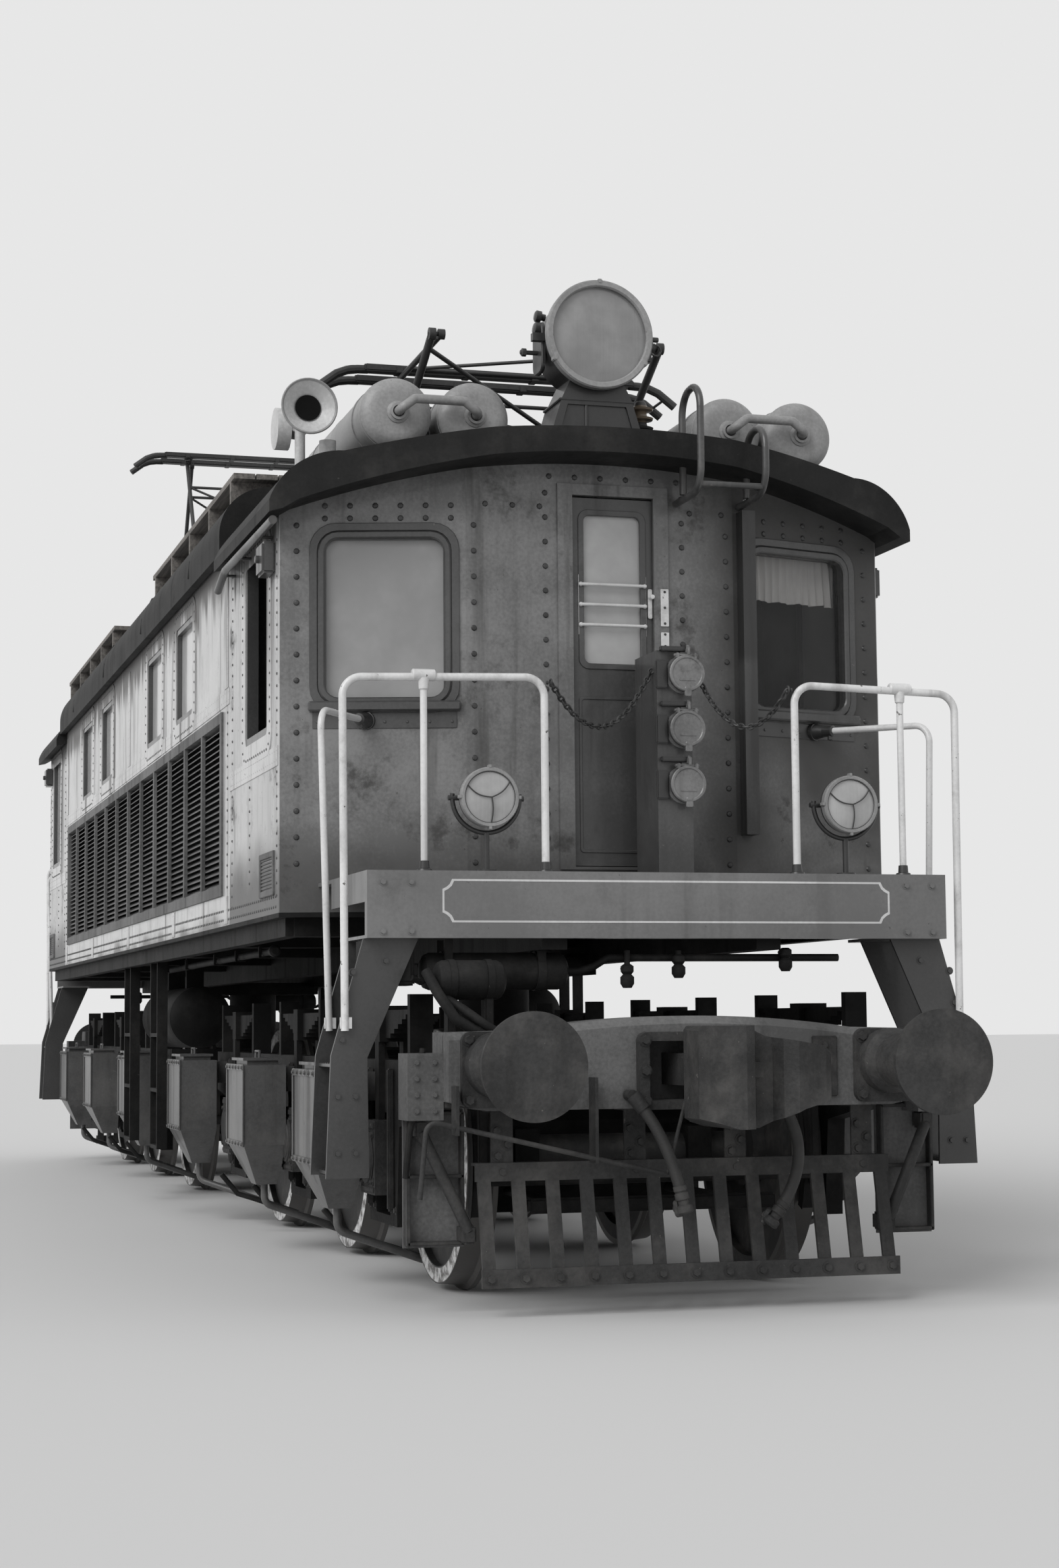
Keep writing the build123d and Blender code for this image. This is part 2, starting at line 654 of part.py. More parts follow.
with BuildPart() as cab_shell:
    with BuildSketch(Plane.XY.offset(BODY_LOW)):
        with BuildLine():
            Polyline(*cab_plan(0), close=True)
        make_face()
        with BuildLine():
            inner = cab_plan(WALL)
            inner[0] = (MAIN_END - 1, inner[0][1])
            inner[-1] = (MAIN_END - 1, inner[-1][1])
            Polyline(*inner, close=True)
        make_face(mode=Mode.SUBTRACT)
    extrude(amount=2400)
    add(CAB_SPACE, mode=Mode.INTERSECT)
    # side windows of the cab, front windows, and the door
    for side in SIDE_FACES:
        add(window_cut(side_plane(CAB_WINDOW_X, side * BODY_HALF_W), CAB_WINDOW_W, CAB_SILL, CAB_HEAD),
            mode=Mode.SUBTRACT)
        add(window_cut(front_window_plane(side), FRONT_WIN_W, FRONT_SILL, FRONT_HEAD, 110), mode=Mode.SUBTRACT)
    add(block(WALL_FACE - 200, WALL_FACE + 50, DOOR_Y - DOOR_HALF, DOOR_Y + DOOR_HALF, DOOR_SILL, DOOR_HEAD),
        mode=Mode.SUBTRACT)
save_front_and_rear(cab_shell, "cab_shell")


def main_roof_section(inset):
    # outline of the main roof from the front
    top = MAIN_ROOF_TOP - inset
    with BuildLine() as line:
        crown = ThreePointArc((-1400 + inset * 0.3, 4225 - inset), (0, top), (1400 - inset * 0.3, 4225 - inset))
        right = ThreePointArc(crown @ 1, (1575 - inset * 0.8, 4140 - inset * 0.6), (MAIN_EAVE - inset, 3950))
        low = Polyline(right @ 1, (MAIN_EAVE - inset, ROOF_FOOT), (-MAIN_EAVE + inset, ROOF_FOOT),
                       (-MAIN_EAVE + inset, 3950))
        ThreePointArc(low @ 1, (-1575 + inset * 0.8, 4140 - inset * 0.6), crown @ 0)
    return line.line


with BuildPart() as side_walls:
    for side in SIDE_FACES:
        y0, y1 = sorted((side * (BODY_HALF_W - WALL), side * BODY_HALF_W))
        add(block(-MAIN_END, MAIN_END, y0, y1, BODY_LOW, 4300))
    with BuildSketch(cross_plane(-MAIN_END)):
        add(main_roof_section(ROOF_SHEET + SEAT_GAP))
        make_face()
        with Locations((0, (BODY_LOW + ROOF_FOOT + 1) / 2)):
            Rectangle(2 * BODY_HALF_W, ROOF_FOOT + 1 - BODY_LOW)
    extrude(amount=2 * MAIN_END, mode=Mode.INTERSECT)
    for end in (-1, 1):
        plate_back = end * (MAIN_END - END_PLATE - 2 * SEAT_GAP)
        add(block(plate_back, end * MAIN_END, -2000, 2000, ROOF_FOOT - SEAT_GAP, 4300), mode=Mode.SUBTRACT)
    for x in SIDE_WINDOWS:
        for end in (-1, 1):
            add(window_cut(side_plane(end * x, 0), SIDE_WINDOW_W, SIDE_SILL, SIDE_HEAD, through=2000),
                mode=Mode.SUBTRACT)
    add(block(-LOUVRE_HALF, LOUVRE_HALF, -2000, 2000, LOUVRE_LOW, LOUVRE_TOP), mode=Mode.SUBTRACT)
save(side_walls, "side_walls")


# Louvres: a frame with bars and slanted slats that seat in its ends

LOUVRE_RIM = 60
SLAT_T = 5
SLAT_DEG = 40
SLAT_W = 46

with BuildPart() as louvres:
    for side in SIDE_FACES:
        inner = side * (BODY_HALF_W - WALL)
        outer = side * (BODY_HALF_W + 12)
        y0, y1 = sorted((inner, outer))
        for z0, z1 in ((LOUVRE_LOW, LOUVRE_LOW + LOUVRE_RIM), (LOUVRE_TOP - LOUVRE_RIM, LOUVRE_TOP)):
            add(block(-LOUVRE_HALF, LOUVRE_HALF, y0, y1, z0, z1))
        for end in (-1, 1):
            x0, x1 = sorted((end * LOUVRE_HALF, end * (LOUVRE_HALF - LOUVRE_RIM)))
            add(block(x0, x1, y0, y1, LOUVRE_LOW, LOUVRE_TOP))
        pitch = 2 * (LOUVRE_HALF - LOUVRE_RIM / 2) / LOUVRE_BAYS
        b0, b1 = sorted((side * (BODY_HALF_W - 8), outer))
        for i in range(1, LOUVRE_BAYS):
            x = -LOUVRE_HALF + LOUVRE_RIM / 2 + i * pitch
            add(block(x - 22, x + 22, b0, b1, LOUVRE_LOW + 10, LOUVRE_TOP - 10))
        span = (LOUVRE_TOP - LOUVRE_LOW - 2 * LOUVRE_RIM) / SLATS
        rise = SLAT_W * sin(radians(SLAT_DEG))
        run = SLAT_W * cos(radians(SLAT_DEG))
        outer_edge = side * (BODY_HALF_W - 8 - SEAT_GAP)
        for i in range(SLATS):
            z = LOUVRE_LOW + LOUVRE_RIM + i * span + 2
            with BuildSketch(cross_plane(-LOUVRE_HALF + 20)):
                with BuildLine():
                    Polyline((outer_edge, z), (outer_edge - side * run, z + rise),
                             (outer_edge - side * run, z + rise + SLAT_T), (outer_edge, z + SLAT_T), close=True)
                make_face()
            extrude(amount=2 * LOUVRE_HALF - 40)
save(louvres, "louvres")


# Roofs: two arched cab roofs with thick overhanging fronts, and the taller main roof between

with BuildPart() as cab_roof:
    with BuildSketch(cross_plane(MAIN_END)):
        add(cab_roof_outline())
        make_face()
    extrude(amount=CAB_ROOF_FRONT - MAIN_END)
    with BuildSketch(Plane.XY.offset(3600)):
        with BuildLine():
            Polyline((MAIN_END, 1800), (6100, 1800), (6180, EAVE_HALF_W), (CAB_ROOF_FRONT, 620),
                     (CAB_ROOF_FRONT, -620), (6180, -EAVE_HALF_W), (6100, -1800), (MAIN_END, -1800), close=True)
        make_face()
        corners = vertices().filter_by(lambda v: 6150 < v.X and abs(v.Y) > 500)
        fillet(corners, 240)
    extrude(amount=800, mode=Mode.INTERSECT)
save_both_ends(cab_roof, "cab_roofs")

with BuildPart() as main_roof:
    with BuildSketch(cross_plane(-MAIN_END + SEAT_GAP)):
        add(main_roof_section(0))
        make_face()
    extrude(amount=2 * (MAIN_END - SEAT_GAP))
    with BuildSketch(cross_plane(-MAIN_END + END_PLATE)):
        add(main_roof_section(ROOF_SHEET))
        make_face()
    extrude(amount=2 * (MAIN_END - END_PLATE), mode=Mode.SUBTRACT)
save(main_roof, "main_roof")


# Walkways of three planks on brackets along both edges of the main roof

WALK_IN, WALK_OUT = 1200, 1570
WALK_LOW, WALK_TOP = 4270, 4300
PLANK_GAP = 8

with BuildPart() as walkways:
    width = (WALK_OUT - WALK_IN - 2 * PLANK_GAP) / 3
    for side in SIDE_FACES:
        for start in (1100, -MAIN_END):
            for i in range(3):
                y = WALK_IN + i * (width + PLANK_GAP)
                add(block(start, start + MAIN_END - 1100, side * y, side * (y + width), WALK_LOW, WALK_TOP))
            for i in range(5):
                x = start + 120 + i * (MAIN_END - 1340) / 4
                add(block(x - 20, x + 20, side * (WALK_IN + 20), side * WALK_OUT, 4050, WALK_LOW))
    with BuildSketch(cross_plane(-MAIN_END)):
        add(main_roof_section(0))
        make_face()
    extrude(amount=2 * MAIN_END, mode=Mode.SUBTRACT)
save(walkways, "roof_walkways")


# Windows: rims in the wall openings, and panes inside the rims

def ring(plane, width, low, high, depth, rim, corner):
    # a window rim lying on its plane and reaching inwards by depth
    with BuildPart() as rim_part:
        with BuildSketch(plane):
            with Locations((0, (low + high) / 2)):
                RectangleRounded(width, high - low, corner)
                inner = max(corner - rim, 12)
                RectangleRounded(width - 2 * rim, high - low - 2 * rim, inner, mode=Mode.SUBTRACT)
        extrude(amount=-depth)
    return rim_part.part


def pane(plane, width, low, high, rim, corner):
    # a pane in the middle of its rim, half a gap clear of it
    inset = rim + SEAT_GAP
    with BuildPart() as pane_part:
        with BuildSketch(plane.offset(-WALL / 2)):
            with Locations((0, (low + high) / 2)):
                RectangleRounded(width - 2 * inset, high - low - 2 * inset, max(corner - inset, 11))
        extrude(amount=-GLASS)
    return pane_part.part


def wall_plane(x, side):
    # on the side wall's outer face, normal outwards, sketch y upwards
    return Plane(origin=(x, side * BODY_HALF_W, 0), x_dir=(-side, 0, 0), z_dir=(0, side, 0))


# every window of the front half: plane, width, sill, head, rim, corner, glazed
WINDOWS = []
for side in SIDE_FACES:
    for x in SIDE_WINDOWS:
        WINDOWS.append((wall_plane(x, side), SIDE_WINDOW_W, SIDE_SILL, SIDE_HEAD, 35, 40, True))
    WINDOWS.append((wall_plane(CAB_WINDOW_X, side), CAB_WINDOW_W, CAB_SILL, CAB_HEAD, 40, 40, side > 0))
    WINDOWS.append((front_window_plane(side), FRONT_WIN_W, FRONT_SILL, FRONT_HEAD, 55, 110, True))

with BuildPart() as window_rims:
    for plane, width, low, high, rim, corner, glazed in WINDOWS:
        if glazed:
            piece = ring(plane, width, low, high, WALL, rim, corner)
            add(piece)
            add(piece.rotate(Axis.Z, 180))
save(window_rims, "window_rims")

with BuildPart() as open_window_rims:
    for plane, width, low, high, rim, corner, glazed in WINDOWS:
        if not glazed:
            add(ring(plane, width, low, high, WALL, rim, corner))
save_both_ends(open_window_rims, "open_window_rims")

with BuildPart() as window_glass:
    for plane, width, low, high, rim, corner, glazed in WINDOWS:
        if glazed:
            piece = pane(plane, width, low, high, rim, corner)
            add(piece)
            add(piece.rotate(Axis.Z, 180))
save(window_glass, "window_glass")


# Cab doors: a frame in the front wall and a leaf that swings inwards

LEAF_GAP = 8
LEAF_HALF = DOOR_HALF - DOOR_RIM - LEAF_GAP
LEAF_LOW = DOOR_SILL + 20
LEAF_TOP = DOOR_HEAD - DOOR_RIM - LEAF_GAP
DOOR_GLASS_HALF = 150
DOOR_GLASS_LOW, DOOR_GLASS_TOP = 3050, 3800
HINGE_R = 12
LEAF_FACE = WALL_FACE - 15
HINGE_X = LEAF_FACE - DOOR_THICK
HINGE_Y = DOOR_Y - LEAF_HALF

with BuildPart() as door_frame:
    with BuildSketch(cross_plane(WALL_FACE + 14)):
        with Locations((DOOR_Y, (DOOR_SILL + DOOR_HEAD) / 2)):
            Rectangle(2 * DOOR_HALF, DOOR_HEAD - DOOR_SILL)
        with Locations((DOOR_Y, (DOOR_SILL + 14 + DOOR_HEAD - DOOR_RIM) / 2)):
            Rectangle(2 * (DOOR_HALF - DOOR_RIM), DOOR_HEAD - DOOR_RIM - DOOR_SILL - 14, mode=Mode.SUBTRACT)
    extrude(amount=-(WALL + 14))
    with BuildSketch(Plane.XY.offset(DOOR_SILL)):
        with Locations((HINGE_X, HINGE_Y)):
            Circle(HINGE_R + LEAF_GAP)
    extrude(amount=DOOR_HEAD - DOOR_RIM - DOOR_SILL, mode=Mode.SUBTRACT)
    # the strip outside that the leaf closes against
    stop_x = LEAF_FACE + LEAF_GAP
    for y0, y1 in ((DOOR_Y - DOOR_HALF + DOOR_RIM, DOOR_Y - LEAF_HALF + 14),
                   (DOOR_Y + LEAF_HALF - 14, DOOR_Y + DOOR_HALF - DOOR_RIM)):
        add(block(stop_x, WALL_FACE + 14, y0, y1, DOOR_SILL, DOOR_HEAD - DOOR_RIM))
save_both_ends(door_frame, "door_frames")

with BuildPart() as door:
    add(block(HINGE_X, LEAF_FACE, HINGE_Y + HINGE_R + 2, DOOR_Y + LEAF_HALF, LEAF_LOW, LEAF_TOP))
    with BuildSketch(cross_plane(LEAF_FACE)):
        with Locations((DOOR_Y, (DOOR_GLASS_LOW + DOOR_GLASS_TOP) / 2)):
            RectangleRounded(2 * DOOR_GLASS_HALF, DOOR_GLASS_TOP - DOOR_GLASS_LOW, 35)
    extrude(amount=-DOOR_THICK, mode=Mode.SUBTRACT)
    with BuildSketch(Plane.XY.offset(LEAF_LOW)):
        with Locations((HINGE_X, HINGE_Y)):
            Circle(HINGE_R)
    extrude(amount=LEAF_TOP - LEAF_LOW)
    add(block(HINGE_X, HINGE_X + HINGE_R, HINGE_Y, HINGE_Y + HINGE_R + 2, LEAF_LOW, LEAF_TOP))
    # three guard bars across the glass, on brackets
    for z in (3448, 3346, 3244):
        add(rod((LEAF_FACE + 14, DOOR_Y - 175, z), (LEAF_FACE + 14, DOOR_Y + 175, z), 8))
        for y in (DOOR_Y - 168, DOOR_Y + 168):
            add(block(LEAF_FACE, LEAF_FACE + 10, y - 9, y + 9, z - 14, z + 14))
    add(block(LEAF_FACE, LEAF_FACE + 8, DOOR_Y + 185, DOOR_Y + 222, 3290, 3430))
save_front_and_rear(door, "door")

with BuildPart() as door_glass:
    with BuildSketch(cross_plane(LEAF_FACE - DOOR_THICK / 2 + GLASS / 2)):
        with Locations((DOOR_Y, (DOOR_GLASS_LOW + DOOR_GLASS_TOP) / 2)):
            tall = DOOR_GLASS_TOP - DOOR_GLASS_LOW - 2 * SEAT_GAP
            RectangleRounded(2 * (DOOR_GLASS_HALF - SEAT_GAP), tall, 34)
    extrude(amount=-GLASS)
save_front_and_rear(door_glass, "door_glass")


# Lamps

HEADLIGHT_Z = 4720
HEADLIGHT_FACE = 6200
HEADLIGHT_R = 275

with BuildPart() as headlight:
    # drum with its rim and lens, turned about its own axis
    with BuildSketch(side_plane(0, 0)):
        with BuildLine():
            drum = Polyline(
                (HEADLIGHT_FACE - 40, HEADLIGHT_Z), (HEADLIGHT_FACE - 40, HEADLIGHT_Z + HEADLIGHT_R - 22),
                (HEADLIGHT_FACE, HEADLIGHT_Z + HEADLIGHT_R - 22), (HEADLIGHT_FACE, HEADLIGHT_Z + HEADLIGHT_R),
                (HEADLIGHT_FACE - 45, HEADLIGHT_Z + HEADLIGHT_R), (HEADLIGHT_FACE - 50, HEADLIGHT_Z + 258),
                (HEADLIGHT_FACE - 330, HEADLIGHT_Z + 250))
            back = ThreePointArc(drum @ 1, (HEADLIGHT_FACE - 425, HEADLIGHT_Z + 150),
                                 (HEADLIGHT_FACE - 450, HEADLIGHT_Z))
            Line(back @ 1, drum @ 0)
        make_face()
    revolve(axis=Axis((0, 0, HEADLIGHT_Z), (1, 0, 0)))
    # side lugs
    for side in SIDE_FACES:
        y0, y1 = sorted((side * 245, side * 320))
        add(block(HEADLIGHT_FACE - 160, HEADLIGHT_FACE - 120, y0, y1, HEADLIGHT_Z - 20, HEADLIGHT_Z + 20))
    # stand: top plate and two splayed side plates with a cut between
    add(block(5830, 6130, -190, 190, 4370, 4390))
    with BuildSketch(cross_plane(6130)):
        with BuildLine():
            Polyline((-190, 4390), (190, 4390), (130, HEADLIGHT_Z - 205), (-130, HEADLIGHT_Z - 205), close=True)
        make_face()
    extrude(amount=-280)
    for side in SIDE_FACES:
        with BuildSketch(cross_plane(6130)):
            with BuildLine():
                Polyline((side * 190, 4385), (side * 270, 4120), (side * 225, 4120),
                         (side * 150, 4385), close=True)
            make_face()
        extrude(amount=-300)
    # skirt between them at the front
    with BuildSketch(cross_plane(6120)):
        with BuildLine():
            Polyline((-150, 4370), (150, 4370), (196, 4215), (-196, 4215), close=True)
        make_face()
    extrude(amount=-12)
    with BuildSketch(cross_plane(MAIN_END)):
        add(cab_roof_outline())
        make_face()
    extrude(amount=CAB_ROOF_FRONT - MAIN_END, mode=Mode.SUBTRACT)
save_both_ends(headlight, "headlights")

# lamp on a stand behind the handrail: Y, Z of its axis
MARKERS = ((-819, 2292), (948, 2286))
MARKER_FACE = 7050
MARKER_R = 135
FORK_X = MARKER_FACE - 80
FORK_R = 158

with BuildPart() as marker_lamps:
    for y, z in MARKERS:
        x = MARKER_FACE
        with BuildSketch(side_plane(0, y)):
            with BuildLine():
                case = Polyline((x - 12, z), (x - 12, z + MARKER_R - 14), (x, z + MARKER_R - 14),
                                (x, z + MARKER_R), (x - 55, z + MARKER_R), (x - 62, z + MARKER_R - 14),
                                (x - 95, z + MARKER_R - 18))
                back = ThreePointArc(case @ 1, (x - 145, z + 75), (x - 155, z + 12))
                Polyline(back @ 1, (x - 155, z), case @ 0)
            make_face()
        revolve(axis=Axis((0, y, z), (1, 0, 0)))
        # fork under the lamp with a pin on each side, post and foot on the deck
        with BuildLine() as fork:
            ThreePointArc((FORK_X, y - FORK_R, z + 20), (FORK_X, y, z - FORK_R), (FORK_X, y + FORK_R, z + 20))
        with BuildSketch(Plane(origin=fork.line @ 0, z_dir=fork.line % 0)):
            Circle(11)
        sweep(path=fork.line)
        add(rod((FORK_X, y - FORK_R - 20, z), (FORK_X, y + FORK_R + 20, z), 12))
        add(rod((FORK_X, y, z - FORK_R), (FORK_X, y, DECK_TOP), 14))
        add(rod((FORK_X, y, DECK_TOP), (FORK_X, y, DECK_TOP + 12), 45))
save_both_ends(marker_lamps, "marker_lamps")


# Air tanks on the cab roof, joined in pairs by a bent pipe

TANK_R = 180
TANK_Z = 4278
TANK_FRONT, TANK_REAR = 6120, 4560
TANK_PAIRS = ((-1030, -635), (1100, 710))
TANK_PIPE_RISE = 55

with BuildPart() as air_tanks:
    for pair in TANK_PAIRS:
        for y in pair:
            with BuildSketch(side_plane(0, y)):
                with BuildLine():
                    shell = Polyline((TANK_REAR + 40, TANK_Z + TANK_R), (TANK_FRONT - 40, TANK_Z + TANK_R))
                    front = ThreePointArc(shell @ 1, (TANK_FRONT - 14, TANK_Z + TANK_R - 25),
                                          (TANK_FRONT, TANK_Z + TANK_R - 70))
                    middle = Polyline(front @ 1, (TANK_FRONT + 2, TANK_Z), (TANK_REAR - 2, TANK_Z),
                                      (TANK_REAR, TANK_Z + TANK_R - 70))
                    ThreePointArc(middle @ 1, (TANK_REAR + 14, TANK_Z + TANK_R - 25), shell @ 0)
                make_face()
            revolve(axis=Axis((0, y, TANK_Z), (1, 0, 0)))
            for x in (TANK_REAR + 250, TANK_FRONT - 250):
                add(block(x - 25, x + 25, y - 120, y + 120, 3990, TANK_Z - 100))
        # pipe out of one end, up, across and into the other
        outer, inner = pair
        toward = 70 if inner > outer else -70
        x = TANK_FRONT + 75
        high = TANK_Z + TANK_PIPE_RISE
        add(tube([(TANK_FRONT - 10, outer, TANK_Z), (x, outer, TANK_Z), (x, outer + toward, high),
                  (x, inner - toward, high), (x, inner, TANK_Z), (TANK_FRONT - 10, inner, TANK_Z)], 30, 23))
    with BuildSketch(cross_plane(MAIN_END)):
        add(cab_roof_outline())
        make_face()
    extrude(amount=CAB_ROOF_FRONT - MAIN_END, mode=Mode.SUBTRACT)
save_both_ends(air_tanks, "air_tanks")


# Horns: a flared bell in front of a drum, on a small pedestal

HORN_Z = 4285
HORN_Y = -1470

with BuildPart() as horn:
    with BuildSketch(side_plane(0, HORN_Y)):
        with BuildLine():
            Polyline((5700, HORN_Z), (5700, HORN_Z + 75), (5860, HORN_Z + 75), (5860, HORN_Z + 48),
                     (5950, HORN_Z + 52), (6050, HORN_Z + 80), (6105, HORN_Z + 133), (6115, HORN_Z + 136),
                     (6060, HORN_Z + 60), (5960, HORN_Z + 36), (5900, HORN_Z), close=True)
        make_face()
    revolve(axis=Axis((0, HORN_Y, HORN_Z), (1, 0, 0)))
    with BuildSketch(side_plane(0, HORN_Y - 40)):
        with Locations((5760, HORN_Z - 40)):
            Circle(105)
    extrude(amount=70)
    add(rod((5860, HORN_Y, 3900), (5860, HORN_Y, HORN_Z - 30), 26))
    add(rod((5960, HORN_Y + 120, 3900), (5960, HORN_Y + 120, 4150), 42))
    with BuildSketch(cross_plane(MAIN_END)):
        add(cab_roof_outline())
        make_face()
    extrude(amount=CAB_ROOF_FRONT - MAIN_END, mode=Mode.SUBTRACT)
save_both_ends(horn, "horns")


# Handrails over the end platform, foot boards and the roof hoops

RAIL_R = 18
RAIL_X = LEG_X + 14 + RAIL_R
REAR_RAIL_X = LEG_X - LEG_DEPTH + 14 + RAIL_R
RAIL_TOP_Z = 2850
HOOP_X = 6550
PIPE_Y, PIPE_Z = 1658, 3705

# the gap between the rails is centred on the door: side, inner post, tee post
GATES = ((-1, DOOR_Y - 615, DOOR_Y - 1185), (1, DOOR_Y + 615, DOOR_Y + 1155))

with BuildPart() as handrails:
    for side, inner, tee in GATES:
        add(tube([(RAIL_X, inner, 1900), (RAIL_X, inner, RAIL_TOP_Z), (RAIL_X, side * 1500, RAIL_TOP_Z - 25),
                  (RAIL_X, side * 1490, 1240)], 90, RAIL_R))
        add(rod((RAIL_X, tee, 1900), (RAIL_X, tee, RAIL_TOP_Z - 10), RAIL_R - 2))
        add(block(LEG_X + 14, RAIL_X + 8, side * 1460, side * 1510, 1250, 1300))
        add(tube([(6000, side * 1150, 2750), (REAR_RAIL_X, side * 1530, 2720),
                  (REAR_RAIL_X, side * 1490, 1240)], 90, RAIL_R - 2))
        add(block(REAR_RAIL_X - RAIL_R, REAR_RAIL_X + 8, side * 1460, side * 1510, 1250, 1300))
    for y, top in ((400, 4420), (740, 4230)):
        add(tube([(6000, y, 3876), (HOOP_X, y, 3876), (HOOP_X, y, top), (6280, y, top - 20), (6280, y, 3900)],
                 120, RAIL_R))
    # cross bar in the lower bend of the two hoops
    add(rod((HOOP_X - 35, 400, 3911), (HOOP_X - 35, 740, 3911), RAIL_R - 2))
    # pipe under the eave beside the cab window, its rear end drooping
    add(tube([(6150, -PIPE_Y, PIPE_Z), (4700, -PIPE_Y, PIPE_Z), (4460, -PIPE_Y, PIPE_Z - 70)], 150, 21))
    for x in (5750, 5150, 4620):
        add(rod((x, -BODY_HALF_W, PIPE_Z - 12), (x, -PIPE_Y, PIPE_Z - 12), 8))
    add(cab_core(), mode=Mode.SUBTRACT)
    with BuildSketch(cross_plane(MAIN_END)):
        add(cab_roof_outline())
        make_face()
    extrude(amount=CAB_ROOF_FRONT - MAIN_END, mode=Mode.SUBTRACT)
    add(block(6200, BEAM_FACE, -BEAM_HALF_W, BEAM_HALF_W, 1800, DECK_TOP), mode=Mode.SUBTRACT)
save_both_ends(handrails, "handrails")


# Jumper sockets in a column on the platform, and the chains from it to the handrails

SOCKET_ZS = (2943, 2675, 2406)
SOCKET_Y = 272
SOCKET_R = 90
COLUMN_X = 6600
COLUMN_IN, COLUMN_OUT = 138, 316
COLUMN_TOP = 3060
TRUNK_IN, TRUNK_OUT = 725, 795

with BuildPart() as socket_column:
    add(block(COLUMN_X - 330, COLUMN_X, COLUMN_IN, COLUMN_OUT, DECK_TOP, COLUMN_TOP))
    for z in SOCKET_ZS:
        with BuildSketch(cross_plane(COLUMN_X)):
            with Locations((SOCKET_Y, z)):
                Circle(SOCKET_R - 14)
        extrude(amount=45)
        with BuildSketch(cross_plane(COLUMN_X + 45)):
            with Locations((SOCKET_Y, z)):
                Circle(SOCKET_R)
        extrude(amount=16)
        add(block(COLUMN_X, COLUMN_X + 40, SOCKET_Y - 25, SOCKET_Y + 25, z + 60, z + SOCKET_R + 15))
    # cable trunk up the angled wall
    add(block(WALL_FACE - 60, WALL_FACE + 80, TRUNK_IN, TRUNK_OUT, 2200, 3845))
    add(cab_core(), mode=Mode.SUBTRACT)
save_both_ends(socket_column, "socket_columns")

# chains: end on the column, lowest point, end on the handrail post
CHAINS = (
    ((COLUMN_X - 60, COLUMN_IN + 4, 2950), (6850, -295, 2664), (RAIL_X, DOOR_Y - 615 + RAIL_R, 2832)),
    ((COLUMN_X - 60, COLUMN_OUT - 4, 3035), (6850, 554, 2674), (RAIL_X, DOOR_Y + 615 - RAIL_R, 2820)),
)
CHAIN_R = 9

with BuildPart() as chains:
    for start, lowest, end in CHAINS:
        with BuildLine() as path:
            ThreePointArc(start, lowest, end)
        with BuildSketch(Plane(origin=path.line @ 0, z_dir=path.line % 0)):
            Circle(CHAIN_R)
        sweep(path=path.line)
    add(block(COLUMN_X - 330, COLUMN_X, COLUMN_IN, COLUMN_OUT, DECK_TOP, COLUMN_TOP), mode=Mode.SUBTRACT)
    add(handrails.part, mode=Mode.SUBTRACT)
save_both_ends(chains, "chains")


# Inside: bulkheads, desks and seats, and the control gear as one block

BULK_T = 40

with BuildPart() as cab_interior:
    inner_y = BODY_HALF_W - WALL
    add(block(MAIN_END - BULK_T, MAIN_END, -inner_y, inner_y, BODY_LOW, ROOF_FOOT - SEAT_GAP))
    # driver's desk with its controller, and the assistant's cupboard
    add(block(5480, 5800, -1450, -700, BODY_LOW, 2650))
    add(block(5400, 5480, -1250, -950, 2560, 2690))
    add(block(5480, 5800, 700, 1450, BODY_LOW, 2500))
    for y in (-1150, 1150):
        add(block(4800, 5200, y - 200, y + 200, 2250, 2330))
        add(block(4760, 4800, y - 200, y + 200, 2250, 2750))
        add(rod((5000, y, BODY_LOW), (5000, y, 2250), 50))
save_both_ends(cab_interior, "cab_interiors")

with BuildPart() as control_gear:
    add(block(-3900, 3900, -900, 900, BODY_LOW, 3000))
save(control_gear, "control_gear")


# Under the body between the bogies: air drums on hangers, steps and pipes

DRUM_R = 210
DRUM_Y = 1180
DRUM_Z = 1330
DRUM_HALF = 790

with BuildPart() as underbody:
    for side in SIDE_FACES:
        with BuildSketch(side_plane(0, side * DRUM_Y)):
            with BuildLine():
                shell = Polyline((-DRUM_HALF + 70, DRUM_Z + DRUM_R), (DRUM_HALF - 70, DRUM_Z + DRUM_R))
                front = ThreePointArc(shell @ 1, (DRUM_HALF - 15, DRUM_Z + 120), (DRUM_HALF, DRUM_Z + 15))
                middle = Polyline(front @ 1, (DRUM_HALF, DRUM_Z), (-DRUM_HALF, DRUM_Z),
                                  (-DRUM_HALF, DRUM_Z + 15))
                ThreePointArc(middle @ 1, (-DRUM_HALF + 15, DRUM_Z + 120), shell @ 0)
            make_face()
        revolve(axis=Axis((0, side * DRUM_Y, DRUM_Z), (1, 0, 0)))
        for x in (-450, 450):
            add(block(x - 25, x + 25, side * (DRUM_Y - 60), side * (DRUM_Y + 60), DRUM_Z + DRUM_R - 20,
                      BODY_LOW - FLOOR_T))
        # steps hung from the side sill
        for end in (-1, 1):
            for x in (550, 880):
                add(block(end * x, end * (x + 25), side * 1430, side * 1500, 450, SIDE_SILL_LOW))
            for z in (450, 830, 1200):
                add(block(end * 575, end * 880, side * 1430, side * 1500, z, z + 25))
save(underbody, "underbody_gear")


# Pantographs: each has a base on insulators, two lower frames, two upper frames and a head

HUB_T = 18
KNEE_STEP = 50
FORE_Y, AFT_Y = 640, 580
HEAD_PLATE_Y = 560
BASE_Y = 450
PIN_R = 12


def knee(height):
    # knee from the pantograph's middle, where the two arms' circles cross on the outer side
    across = TOP_X - SHAFT_X
    span = hypot(across, height)
    along = (LOWER_ARM ** 2 - UPPER_ARM ** 2 + span ** 2) / (2 * span)
    off = sqrt(LOWER_ARM ** 2 - along ** 2)
    return (SHAFT_X + (along * across + off * height) / span, (along * height - off * across) / span)


